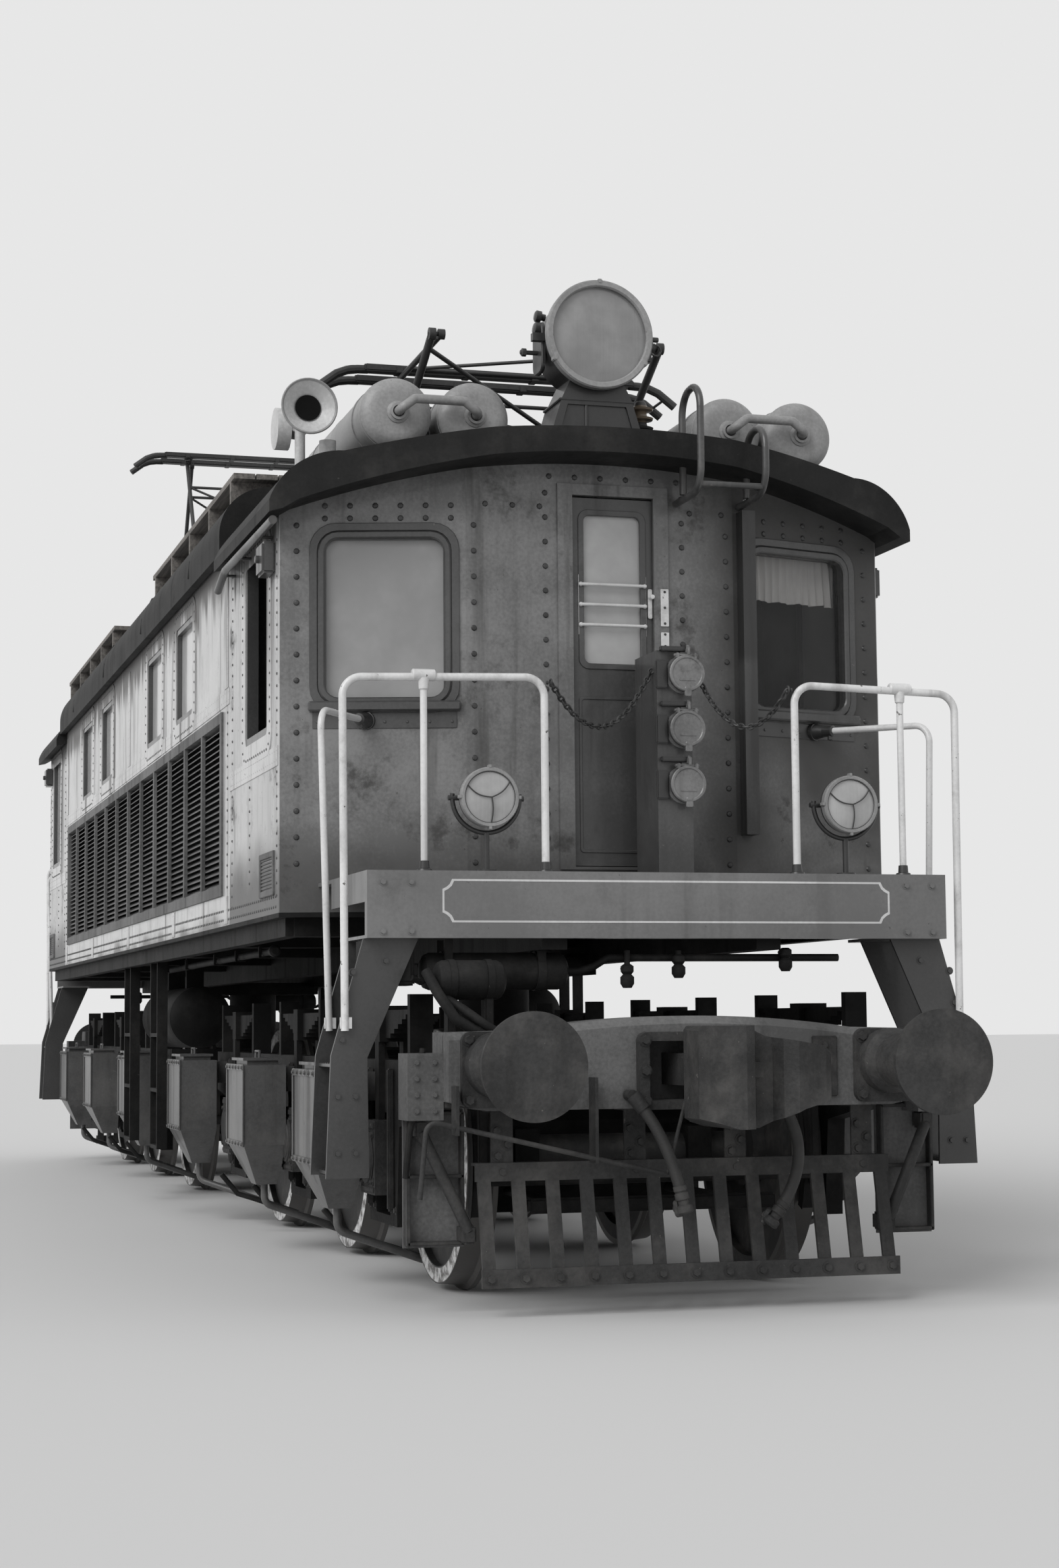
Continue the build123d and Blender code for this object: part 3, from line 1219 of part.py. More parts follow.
def hub(x, y, z, r):
    # a short boss along Y
    return rod((x, y - HUB_T, z), (x, y + HUB_T, z), r)


def lower_frame(middle, height, way, arm_y):
    # shaft tube, two arms out to the knees with their pins, and a diagonal brace
    knee_x, knee_z = knee(height)
    x, z = middle + way * knee_x, SHAFT_Z + knee_z
    shaft_x = middle + way * SHAFT_X
    with BuildPart() as frame:
        add(rod((shaft_x, -arm_y - HUB_T, SHAFT_Z), (shaft_x, arm_y + HUB_T, SHAFT_Z), 34))
        for side in SIDE_FACES:
            y = side * arm_y
            add(rod((shaft_x, y, SHAFT_Z), (x, y, z), 22))
            add(hub(x, y, z, 32))
            add(rod((x, y, z), (x, side * (arm_y - KNEE_STEP - HUB_T), z), PIN_R))
        brace_x, brace_z = between((x, z), (shaft_x, SHAFT_Z), 0.12)
        # the brace ends on the shaft between the two bearings
        add(rod((brace_x, -arm_y, brace_z), (shaft_x, 0.7 * arm_y, SHAFT_Z), 13))
    return frame


def upper_frame(middle, height, way, arm_y):
    # two arms from the knees to the top pivots, a cross tube and a brace
    knee_x, knee_z = knee(height)
    low = (middle + way * knee_x, SHAFT_Z + knee_z)
    top = (middle + way * TOP_X, SHAFT_Z + height)
    far, near = [(low[0] + (top[0] - low[0]) * k, low[1] + (top[1] - low[1]) * k) for k in (0.12, 0.72)]
    with BuildPart() as frame:
        for side in SIDE_FACES:
            y = side * arm_y
            add(rod((low[0], y, low[1]), (top[0], y, top[1]), 17))
            add(hub(low[0], y, low[1], 28))
            add(hub(top[0], y, top[1], 24))
        add(rod((near[0], -arm_y, near[1]), (near[0], arm_y, near[1]), 12))
        add(rod((far[0], arm_y, far[1]), (near[0], -arm_y, near[1]), 10))
        for side in SIDE_FACES:
            for x, z in (low, top):
                pin = rod((x, side * arm_y - 30, z), (x, side * arm_y + 30, z), PIN_R + SEAT_GAP)
                add(pin, mode=Mode.SUBTRACT)
    return frame


def collector_head(middle, height):
    # two bars with drooping horns on side plates that hang on the fore pivots
    z = SHAFT_Z + height
    with BuildPart() as head:
        for side in SIDE_FACES:
            y = side * HEAD_PLATE_Y
            add(block(middle - 150, middle + 150, y - 5, y + 5, z + 20, z + 60))
            add(block(middle + TOP_X - 25, middle + TOP_X + 25, y - 5, y + 5, z - 25, z + 30))
            add(rod((middle + TOP_X, y, z), (middle + TOP_X, side * (FORE_Y - KNEE_STEP + HUB_T), z), PIN_R))
        for x in (middle - 130, middle + 130):
            add(block(x - 22, x + 22, -800, 800, z + 45, z + 70))
            for side in SIDE_FACES:
                add(tube([(x, side * 780, z + 57), (x, side * 900, z + 50), (x, side * 1060, z - 70)], 120, 12))
        for side in SIDE_FACES:
            add(rod((middle - 130, side * 1000, z - 25), (middle + 130, side * 1000, z - 25), 8))
    return head


with BuildPart() as panto_bases:
    for middle in (PANTO_X, -PANTO_X):
        for side in SIDE_FACES:
            y = side * BASE_Y
            add(block(middle - 345, middle + 345, y - 25, y + 25, 4425, 4470))
            for way in (-1, 1):
                x = middle + way * SHAFT_X
                add(block(x - 42, x + 42, y - 25, y + 25, 4470, 4548))
                # insulator between the rail and the roof: a core with three sheds
                foot_x = middle + way * 220
                add(rod((foot_x, y, 4200), (foot_x, y, 4425), 32))
                for z in (4345, 4372, 4399):
                    add(rod((foot_x, y, z), (foot_x, y, z + 12), 58))
        for way in (-1, 1):
            x = middle + way * 330
            add(block(x - 15, x + 15, -BASE_Y, BASE_Y, 4430, 4465))
            shaft_x = middle + way * SHAFT_X
            with BuildSketch(side_plane(shaft_x, 600)):
                with Locations((0, SHAFT_Z)):
                    Circle(34 + SEAT_GAP)
            extrude(amount=1200, mode=Mode.SUBTRACT)
    with BuildSketch(cross_plane(-MAIN_END)):
        add(main_roof_section(0))
        make_face()
    extrude(amount=2 * MAIN_END, mode=Mode.SUBTRACT)
save(panto_bases, "pantograph_bases")

for place, middle, height in (("front", PANTO_X, LOWERED), ("rear", -PANTO_X, RAISED)):
    save(lower_frame(middle, height, 1, FORE_Y), f"{place}_panto_lower_fore")
    save(lower_frame(middle, height, -1, AFT_Y), f"{place}_panto_lower_aft")
    save(upper_frame(middle, height, 1, FORE_Y - KNEE_STEP), f"{place}_panto_upper_fore")
    save(upper_frame(middle, height, -1, AFT_Y - KNEE_STEP), f"{place}_panto_upper_aft")
    save(collector_head(middle, height), f"{place}_panto_head")
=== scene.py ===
from math import cos, pi, radians, sin, tan

import bmesh
import bpy
from mathutils import Matrix, Vector


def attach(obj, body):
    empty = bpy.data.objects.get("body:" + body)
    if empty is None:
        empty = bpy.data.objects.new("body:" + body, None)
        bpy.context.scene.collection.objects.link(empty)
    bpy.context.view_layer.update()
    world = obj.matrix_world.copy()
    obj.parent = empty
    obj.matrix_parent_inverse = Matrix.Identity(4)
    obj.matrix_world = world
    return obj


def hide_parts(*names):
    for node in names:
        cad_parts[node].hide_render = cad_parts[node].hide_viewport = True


# Looks of the electric locomotive: paint, rivets, lamps, chains and trim on the fixed frame.
# Metres; +X is the leading end. The rear end repeats the front one, turned half a circle.

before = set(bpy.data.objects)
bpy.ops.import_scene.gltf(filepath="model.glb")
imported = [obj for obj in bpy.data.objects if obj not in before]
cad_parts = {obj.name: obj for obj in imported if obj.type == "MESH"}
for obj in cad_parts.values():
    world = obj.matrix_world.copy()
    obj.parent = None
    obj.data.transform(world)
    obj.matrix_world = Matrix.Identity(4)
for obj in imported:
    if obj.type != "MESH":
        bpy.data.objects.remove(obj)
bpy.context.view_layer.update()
HALF_TURN = Matrix.Rotation(pi, 4, "Z")
ENDS = (("front", Matrix.Identity(4)), ("rear", HALF_TURN))
SIDES = (-1, 1)
AHEAD, UP = Vector((1, 0, 0)), Vector((0, 0, 1))
# middles of the front bogie's axles, and the outer face of the side walls, as in the CAD
AXLES, AXLE_Z = (6.15, 4.05, 1.95), 0.638
SIDE_Y = 1.587


# ---------------------------------------------------------------- node building

def operator(operation, swapped=False):
    def apply(one, other=0.0):
        first, second = (other, one) if swapped else (one, other)
        return one.tree.node("ShaderNodeMath", {"operation": operation}, {0: first, 1: second})
    return apply


class Link:
    """An output socket that can be used in sums."""

    def __init__(self, tree, out):
        self.tree, self.out = tree, out

    __add__, __radd__ = operator("ADD"), operator("ADD", True)
    __sub__, __rsub__ = operator("SUBTRACT"), operator("SUBTRACT", True)
    __mul__, __truediv__ = operator("MULTIPLY"), operator("DIVIDE")
    __pow__, __abs__ = operator("POWER"), operator("ABSOLUTE")
    larger, smaller, modulo = operator("MAXIMUM"), operator("MINIMUM"), operator("MODULO")


class Tree:
    """Adds nodes to a shader or geometry tree."""

    def __init__(self, tree):
        self.tree = tree

    def node(self, kind, settings=None, values=None, out=0):
        made = self.tree.nodes.new(kind)
        for name, value in (settings or {}).items():
            setattr(made, name, value)
        for key, value in (values or {}).items():
            if isinstance(value, Link):
                self.tree.links.new(value.out, made.inputs[key])
            else:
                made.inputs[key].default_value = value
        return Link(self, made.outputs[out]) if len(made.outputs) else made


# ---------------------------------------------------------------- finishes

def grey(tone, warm=0.0):
    # a neutral colour, a little warmer or colder
    return (tone * (1 + warm), tone, tone * (1 - warm), 1)


class Finish(Tree):
    """One procedural material on object coordinates."""

    def __init__(self, name):
        self.material = bpy.data.materials.new(name)
        self.material.use_nodes = True
        super().__init__(self.material.node_tree)
        self.shader = self.tree.nodes["Principled BSDF"]
        self.place = self.node("ShaderNodeTexCoord", out="Object")
        split = self.node("ShaderNodeSeparateXYZ", None, {0: self.place})
        self.x, self.y, self.z = [Link(self, out) for out in split.out.node.outputs]

    def stretched(self, scale):
        return self.node("ShaderNodeMapping", None, {"Vector": self.place, "Scale": scale})

    def noise(self, scale, detail=3.0, rough=0.5, at=None):
        values = {"Vector": at or self.place, "Scale": scale, "Detail": detail, "Roughness": rough}
        return self.node("ShaderNodeTexNoise", None, values)

    def rise(self, value, low, high):
        # 0 below low, 1 above high; the other way round if low is the larger
        values = {"Value": value, "From Min": low, "From Max": high}
        return self.node("ShaderNodeMapRange", {"interpolation_type": "SMOOTHSTEP"}, values)

    def on_flank(self):
        # 1 on the outer face of the side walls
        return self.rise(abs(self.y), 1.582, 1.5855)

    def band(self, value, low, high, edge):
        return self.rise(value, low - edge, low + edge) * self.rise(value, high + edge, high - edge)

    def mix(self, mask, first, second):
        return self.node("ShaderNodeMix", {"data_type": "RGBA"}, {0: mask, 6: first, 7: second}, out=2)

    def bump(self, height, distance, below=None):
        values = {"Height": height, "Distance": distance, "Strength": 1.0}
        if below:
            values["Normal"] = below
        return self.node("ShaderNodeBump", None, values)

    def finish(self, **sockets):
        for name, value in sockets.items():
            socket = self.shader.inputs[name.replace("_", " ")]
            if isinstance(value, Link):
                self.tree.links.new(value.out, socket)
            else:
                socket.default_value = value
        return self.material


def weathered(name, tone, dirt_and_shade_tone=0.02, gloss=0.35, coat=0.0, cloud=0.2, streak=0.0, chips=0.0,
              chip_tone=0.05, grain=0.0004, dents=0.0, metal=0.0, foot=None, dust=0.0,
              other=None, stain=0.0, flank=None, lit_nose_tone=None, drips=0.0, painted_right_shade=0.0):
    # paint over steel: cloudy tone, runs of dirt, chips, dents and a rougher dirty part; where asked also
    # painted light: shade on the right half of each end, a lit headstock face, the sky's glare on the cab's
    # sides
    f = Finish(name)
    clouds = f.noise(1.7, 5, 0.6)
    fine = f.noise(60, 3, 0.6)
    mask = f.rise(clouds * 0.7 + fine * 0.3, 0.38, 0.66)
    colour = f.mix(mask, grey(tone * (1 - cloud)), grey(tone * (1 + cloud)))
    if other:
        # a second tone past a height: other = (start, full, tone)
        start, full, second = other
        cloudy = f.mix(mask, grey(second * 0.75), grey(second * 1.2))
        colour = f.mix(f.rise(f.z, start, full), colour, cloudy)
    if flank:
        # the long side of the cab takes the light grey of the side walls, partly paint and partly a painted
        # reflection of the sky
        side_tone_and_glare = f.mix(mask, grey(flank * 0.9), grey(flank * 1.1))
        colour = f.mix(f.on_flank(), colour, side_tone_and_glare)
    if lit_nose_tone:
        # painted light: the headstock's face is painted lighter, as if lit, than the gear behind it
        lit_face = f.mix(mask, grey(lit_nose_tone * 0.7), grey(lit_nose_tone * 1.3))
        colour = f.mix(f.rise(abs(f.x), 7.1, 7.16), colour, lit_face)
    dirt_and_shade = f.rise(f.noise(7, 6, 0.65), 0.55, 0.8) * 0.35
    if streak:
        runs = f.rise(f.noise(1, 4, 0.6, f.stretched((7, 7, 0.45))), 0.5, 0.72)
        dirt_and_shade = dirt_and_shade.larger(runs * streak)
    if painted_right_shade:
        # painted shade: the right half of each end is darkened in patches, as if in the shade
        right = f.rise(f.x * f.y, 2.3, 4.4) * f.rise(abs(f.y), 1.585, 1.582)
        dirt_and_shade = dirt_and_shade.larger(right * f.rise(f.noise(1.4, 4), 0.1, 0.6) * painted_right_shade)
    if drips:
        # soot washed down from the eaves
        run = f.rise(f.z + f.noise(1, 4, 0.7, f.stretched((9, 9, 0.6))) * 0.9, 4.0, 4.2)
        dirt_and_shade = dirt_and_shade.larger(run * f.on_flank() * drips)
    if stain:
        blots = f.rise(f.noise(2.9, 7, 0.72), 0.5, 0.68) * f.rise(f.noise(11, 5, 0.7), 0.3, 0.6)
        dirt_and_shade = dirt_and_shade.larger(blots * stain)
    if foot:
        low = f.rise(f.z + f.noise(3, 4) * 0.3, foot[1] + 0.15, foot[0] + 0.15)
        dirt_and_shade = dirt_and_shade.larger(low * 0.75)
    # dirt and painted shade both darken the colour towards one tone
    colour = f.mix(dirt_and_shade, colour, grey(dirt_and_shade_tone, 0.03))
    if dust:
        settled = f.rise(f.noise(2.6, 6, 0.7), 0.42, 0.75) * dust
        colour = f.mix(settled, colour, grey(0.16, 0.04))
    rough = gloss + dirt_and_shade * 0.4 + fine * 0.12
    if chips:
        bare = f.rise(f.noise(23, 4, 0.7), 0.735 - 0.03 * chips, 0.75 - 0.03 * chips)
        colour = f.mix(bare, colour, grey(chip_tone, 0.04))
        rough = rough + bare * 0.2
    normal = f.bump(fine, grain)
    if dents:
        normal = f.bump(f.noise(2.3, 2, 0.4), dents, normal)
    return f.finish(Base_Color=colour, Roughness=rough, Metallic=metal, Normal=normal,
                    Coat_Weight=(1.0 - dirt_and_shade) * coat if coat else 0.0, Coat_Roughness=0.12)


def plain_steel(name, tone, rough, metal=0.9):
    f = Finish(name)
    worn = f.noise(9, 5, 0.65)
    colour = f.mix(f.rise(worn, 0.35, 0.7), grey(tone * 0.55), grey(tone))
    normal = f.bump(f.noise(130, 2, 0.6), 0.0004)
    return f.finish(Base_Color=colour, Roughness=rough + worn * 0.25, Metallic=metal, Normal=normal)


def rubber():
    f = Finish("hose_rubber")
    ribs = f.noise(1, 3, 0.5, f.stretched((60, 60, 240)))
    colour = f.mix(f.noise(12, 4), grey(0.012), grey(0.04, 0.03))
    return f.finish(Base_Color=colour, Roughness=0.62, Normal=f.bump(ribs, 0.0015))


def window_pane():
    # old sheet glass: the panes on one side of each end, and those in the side walls, carry a painted
    # reflection of the sky in their colour; the others let one see in
    bright, dark = 0.36, 0.03
    f = Finish("window_pane")
    film = f.rise(f.noise(2.2, 4, 0.6), 0.35, 0.75)
    flank = f.rise(abs(f.y), 1.5, 1.52)
    painted_sky_mask = f.rise(f.x * f.y, 0.2, -0.4).larger(flank)
    painted_sky = f.mix(flank, f.mix(film, grey(bright * 0.85), grey(bright)), grey(0.6))
    return f.finish(Base_Color=f.mix(painted_sky_mask, grey(dark), painted_sky), Roughness=0.1 + film * 0.12,
                    Alpha=painted_sky_mask * 0.5 + film * 0.08 + 0.2 + flank * 0.2, IOR=1.5,
                    Coat_Weight=0.5, Coat_Roughness=0.03)


def door_pane():
    # the pane in the door carries a painted reflection of the sky all over
    f = Finish("door_pane")
    film = f.rise(f.noise(3, 4, 0.6), 0.35, 0.75)
    return f.finish(Base_Color=f.mix(film, grey(0.36), grey(0.46)), Roughness=0.1 + film * 0.1,
                    Alpha=0.9, IOR=1.5, Coat_Weight=0.5, Coat_Roughness=0.03)


def lens_glass(name, tone):
    # moulded lamp glass with fine vertical ribs; its patchy light grey is partly the glass's tone and partly
    # a painted reflection of the sky
    f = Finish(name)
    ribs = f.noise(1, 1, 0.3, f.stretched((3, 90, 3)))
    patches = f.rise(f.noise(5, 4, 0.55), 0.3, 0.75)
    return f.finish(Base_Color=f.mix(patches, grey(tone * 0.7), grey(tone)), Roughness=0.12 + patches * 0.15,
                    Normal=f.bump(ribs, 0.0012), Coat_Weight=0.6, Coat_Roughness=0.03, IOR=1.5)


def planks():
    f = Finish("walkway_wood")
    grain = f.noise(1, 6, 0.7, f.stretched((2.2, 46, 46)))
    colour = f.mix(f.rise(grain, 0.3, 0.7), grey(0.07, 0.06), grey(0.2, 0.08))
    return f.finish(Base_Color=colour, Roughness=0.75, Normal=f.bump(grain, 0.002))


def porcelain_and_steel():
    # insulator sheds stand between the roof and the rails of the pantograph's base
    f = Finish("base_steel_and_porcelain")
    glaze = f.band(f.z, 4.336, 4.424, 0.002)
    worn = f.rise(f.noise(8, 5, 0.6), 0.4, 0.7)
    colour = f.mix(glaze, f.mix(worn, grey(0.025), grey(0.07, 0.03)), grey(0.16, 0.25))
    return f.finish(Base_Color=colour, Roughness=0.5 - glaze * 0.36, Normal=f.bump(worn, 0.0005))


def wheel_paint():
    # black wheel with a white tyre edge and a bright tread
    f = Finish("wheel_paint")
    near, *others = [abs(f.x - x) for x in AXLES + tuple(-x for x in reversed(AXLES))]
    for other in others:
        near = near.smaller(other)
    radius = (near * near + (f.z - AXLE_Z) ** 2.0) ** 0.5
    tyre = f.band(radius, 0.532, 0.6, 0.003) * f.rise(abs(f.y), 0.846, 0.852)
    tread = f.rise(radius, 0.603, 0.607)
    worn = f.rise(f.noise(6, 6, 0.7), 0.45, 0.7)
    base = f.mix(worn, grey(0.02), grey(0.055, 0.05))
    white = f.mix(f.rise(f.noise(14, 5, 0.7), 0.42, 0.6), grey(0.66), grey(0.14, 0.03))
    colour = f.mix(tread, f.mix(tyre, base, white), grey(0.1, 0.03))
    return f.finish(Base_Color=colour, Metallic=tread * 0.7, Roughness=0.6 - tread * 0.2,
                    Normal=f.bump(worn, 0.001))


def cloth():
    f = Finish("curtain_cloth")
    weave = f.noise(1, 2, 0.5, f.stretched((260, 260, 60)))
    colour = f.mix(weave, grey(0.68, 0.02), grey(0.8, 0.02))
    return f.finish(Base_Color=colour, Roughness=0.85, Sheen_Weight=0.3, Normal=f.bump(weave, 0.0006))


# tone, tone of dirt and painted shade, gloss, coat, cloud, streak, chips, chip tone, grain and dents of the
# end walls
CAB_PAINT = (0.15, 0.035, 0.28, 0.4, 0.3, 0.7, 1.4, 0.05, 0.0003, 0.014)
# dirt at the foot, stains, and painted shade on the right half of each end
CAB_DIRT_AND_SHADE = {"foot": (1.95, 2.3), "stain": 0.9, "painted_right_shade": 0.85}
FRONT = weathered("front_enamel", *CAB_PAINT, **CAB_DIRT_AND_SHADE)
# the side walls' light grey is partly their paint and partly a painted reflection of the bright sky at a
# grazing angle
SIDE = weathered("side_enamel", 0.46, 0.09, 0.26, 0.6, 0.12, 0.85, 1.6, 0.1, 0.0003, 0.01,
                 foot=(1.78, 1.9), stain=0.35, drips=0.9)
LOUVRE = weathered("louvre_enamel", 0.13, 0.02, 0.5, 0.0, 0.3, 0.4, 0.5, 0.03)
ROOF = weathered("roof_enamel", 0.012, 0.006, 0.55, 0.0, 0.3, 0.2, 0.3, 0.05, 0.0006, 0.006, dust=0.12)
TANK = weathered("tank_enamel", 0.27, 0.09, 0.42, 0.1, 0.2, 0.25, 0.8, 0.06, 0.0005, stain=0.25)
# the rails are white at the platform; the hoops and the pipe under the eaves are dark grey
WHITE = weathered("rail_enamel", 0.66, 0.15, 0.3, 0.3, 0.1, 0.5, 2.6, 0.1, other=(3.4, 3.5, 0.05),
                  stain=0.45)
RIM = weathered("rim_enamel", 0.05, 0.02, 0.3, 0.4, 0.25, 0.3, 0.4, 0.12)
LAMP = weathered("lamp_enamel", 0.026, 0.012, 0.35, 0.25, 0.2, 0.2, 0.6, 0.16)
# the ladder legs under the beam are nearly black; the beam's right half has painted shade
BEAM = weathered("beam_enamel", 0.16, 0.04, 0.34, 0.3, 0.14, 0.3, 1.0, 0.06, 0.0003, 0.004,
                 other=(1.652, 1.648, 0.045), stain=0.3, painted_right_shade=0.25)
# the cab's long sides take the side walls' light grey, partly a painted reflection of the sky
CAB = weathered("cab_enamel", *CAB_PAINT, **CAB_DIRT_AND_SHADE, flank=0.42, drips=0.9)
HORN = weathered("horn_enamel", 0.52, 0.15, 0.4, 0.15, 0.2, 0.25, 0.6, 0.08, 0.0004, stain=0.2)
DOOR = weathered("door_enamel", 0.06, 0.02, 0.3, 0.35, 0.25, 0.5, 0.8, 0.04, stain=0.4)
COLUMN = weathered("column_enamel", 0.055, 0.02, 0.35, 0.3, 0.3, 0.5, 1.0, 0.12, other=(3.05, 3.12, 0.022))
DARK = weathered("dark_gear", 0.012, 0.006, 0.6, 0.0, 0.3, 0.2, 0.6, 0.05, 0.001, dust=0.15)
# near-black running gear: its black paint and in part painted shade under the body; its headstock face is
# painted lighter, as if lit
GEAR = weathered("gear_enamel", 0.007, 0.004, 0.6, 0.0, 0.3, 0.3, 0.8, 0.04, 0.0012, dust=0.1, lit_nose_tone=0.125)
CAST = weathered("cast_enamel", 0.04, 0.014, 0.45, 0.0, 0.3, 0.3, 1.4, 0.12, 0.002, 0.006, dust=0.35)
SAND = weathered("sand_enamel", 0.078, 0.025, 0.36, 0.2, 0.25, 0.5, 0.9, 0.14, 0.0008, 0.004, dust=0.35)
STEEL = plain_steel("bright_steel", 0.5, 0.22)
CHAIN = plain_steel("chain_steel", 0.09, 0.45, 0.7)
BAR = weathered("pantograph_steel", 0.04, 0.02, 0.45, 0.0, 0.3, 0.0, 1.0, 0.16, metal=0.3)
RUBBER = rubber()
PANE = window_pane()
DOOR_PANE = door_pane()
LENS = lens_glass("headlight_lens", 0.27)
MARKER_LENS = lens_glass("marker_lens", 0.42)
RIVET = plain_steel("rivet_paint", 0.06, 0.25, 0.2)
# a near-black for the painted shade deep in the horn's throat
THROAT_SHADE = plain_steel("painted_throat_shade", 0.006, 0.8, 0.0)
WOOD = planks()
BASE = porcelain_and_steel()
WHEEL = wheel_paint()
CURTAIN = cloth()
INSIDE = weathered("cab_interior", 0.12, 0.04, 0.5)
STRIPE = weathered("stripe_paint", 0.6, 0.2, 0.35, 0.2, 0.1, 0.2, 1.2, 0.2)

# the finish of the CAD's nodes, by how their names start
NODE_FINISH = (
    (WHEEL, "wheelset_"), (CAST, "axle_boxes", "draw_gear", "cowcatcher"), (SAND, "sandboxes"),
    (GEAR, "bogie_frame", "leaf_springs", "traction_motors", "underframe", "control_gear",
     "underbody_gear"),
    (RUBBER, "brake_hoses"), (BEAM, "platforms"), (CAB, "cab_shell"), (SIDE, "side_walls"),
    (LOUVRE, "louvres"), (ROOF, "cab_roofs", "main_roof"), (WOOD, "roof_walkways"),
    (RIM, "window_rims", "open_window_rims"), (PANE, "window_glass"), (FRONT, "door_frames"),
    (LAMP, "headlights", "marker_lamps"), (TANK, "air_tanks"), (HORN, "horns"), (WHITE, "handrails"),
    (COLUMN, "socket_columns"), (CHAIN, "chains"), (INSIDE, "cab_interiors"),
    (BASE, "pantograph_bases"), (DOOR_PANE, "door_glass"), (DOOR, "door_front", "door_rear"),
    (BAR, "front_panto", "rear_panto"),
)

for dull in (ROOF, GEAR, DARK, LOUVRE, CAST, THROAT_SHADE):
    dull.node_tree.nodes["Principled BSDF"].inputs["Specular IOR Level"].default_value = 0.18

for node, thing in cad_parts.items():
    paint, = [row[0] for row in NODE_FINISH if node.startswith(row[1:])]
    thing.data.materials.clear()
    thing.data.materials.append(paint)


# ---------------------------------------------------------------- stage, light and camera

def stage():
    bpy.ops.mesh.primitive_plane_add(size=400)
    floor = bpy.context.object
    floor.name = "floor"
    plaster = Finish("floor_plaster")
    floor.data.materials.append(plaster.finish(Base_Color=grey(0.62), Roughness=0.9))

    world = bpy.data.worlds.new("sky")
    bpy.context.scene.world = world
    world.use_nodes = True
    tree = Tree(world.node_tree)
    world.node_tree.nodes.clear()
    path = tree.node("ShaderNodeLightPath").out.node.outputs
    seen = Link(tree, path["Is Camera Ray"])
    for name in ("Is Glossy Ray", "Is Transmission Ray"):
        seen = seen.larger(Link(tree, path[name]))
    plain = tree.node("ShaderNodeBackground", None, {"Color": grey(1.0), "Strength": 0.62})
    shown = tree.node("ShaderNodeBackground", None, {"Color": grey(0.8), "Strength": 1.0})
    both = tree.node("ShaderNodeMixShader", None, {0: seen, 1: plain, 2: shown})
    tree.node("ShaderNodeOutputWorld", None, {"Surface": both})

    lamp = bpy.data.lights.new("soft_sun", "SUN")
    lamp.energy = 1.75
    lamp.angle = radians(40)
    sun = bpy.data.objects.new("soft_sun", lamp)
    sun.rotation_euler = Vector((0.62, -0.85, 0.8)).to_track_quat("Z", "Y").to_euler()
    bpy.context.scene.collection.objects.link(sun)


def camera():
    eye = (18.2279, -3.8247, 1.2593)
    yaw, pitch, roll, lens = 0.278044, 0.093887, -0.008282, 58.761
    ahead = Vector((-cos(yaw) * cos(pitch), sin(yaw) * cos(pitch), sin(pitch)))
    right = Vector((sin(yaw), cos(yaw), 0))
    up = right.cross(ahead)
    turned = right * cos(roll) + up * sin(roll)
    upward = up * cos(roll) - right * sin(roll)
    data = bpy.data.cameras.new("photo_camera")
    data.lens, data.sensor_width, data.clip_end = lens, 36, 500
    thing = bpy.data.objects.new("photo_camera", data)
    rows = Matrix((turned, upward, -ahead)).transposed().to_4x4()
    thing.matrix_world = Matrix.Translation(eye) @ rows
    bpy.context.scene.collection.objects.link(thing)
    bpy.context.scene.camera = thing


stage()
camera()
bpy.context.scene.view_settings.view_transform = "Standard"


# ---------------------------------------------------------------- solids

def look_along(point, along):
    # a matrix at a point whose +Z looks along a direction, with +Y as near to upright as it can be
    z = Vector(along).normalized()
    side = UP.cross(z)
    x = side.normalized() if side.length > 1e-4 else AHEAD
    return Matrix.Translation(point) @ Matrix((x, z.cross(x), z)).transposed().to_4x4()


def smoothed(mesh, angle=None):
    mesh.polygons.foreach_set("use_smooth", [True] * len(mesh.polygons))
    if angle:
        mesh.set_sharp_from_angle(angle=radians(angle))
    return mesh


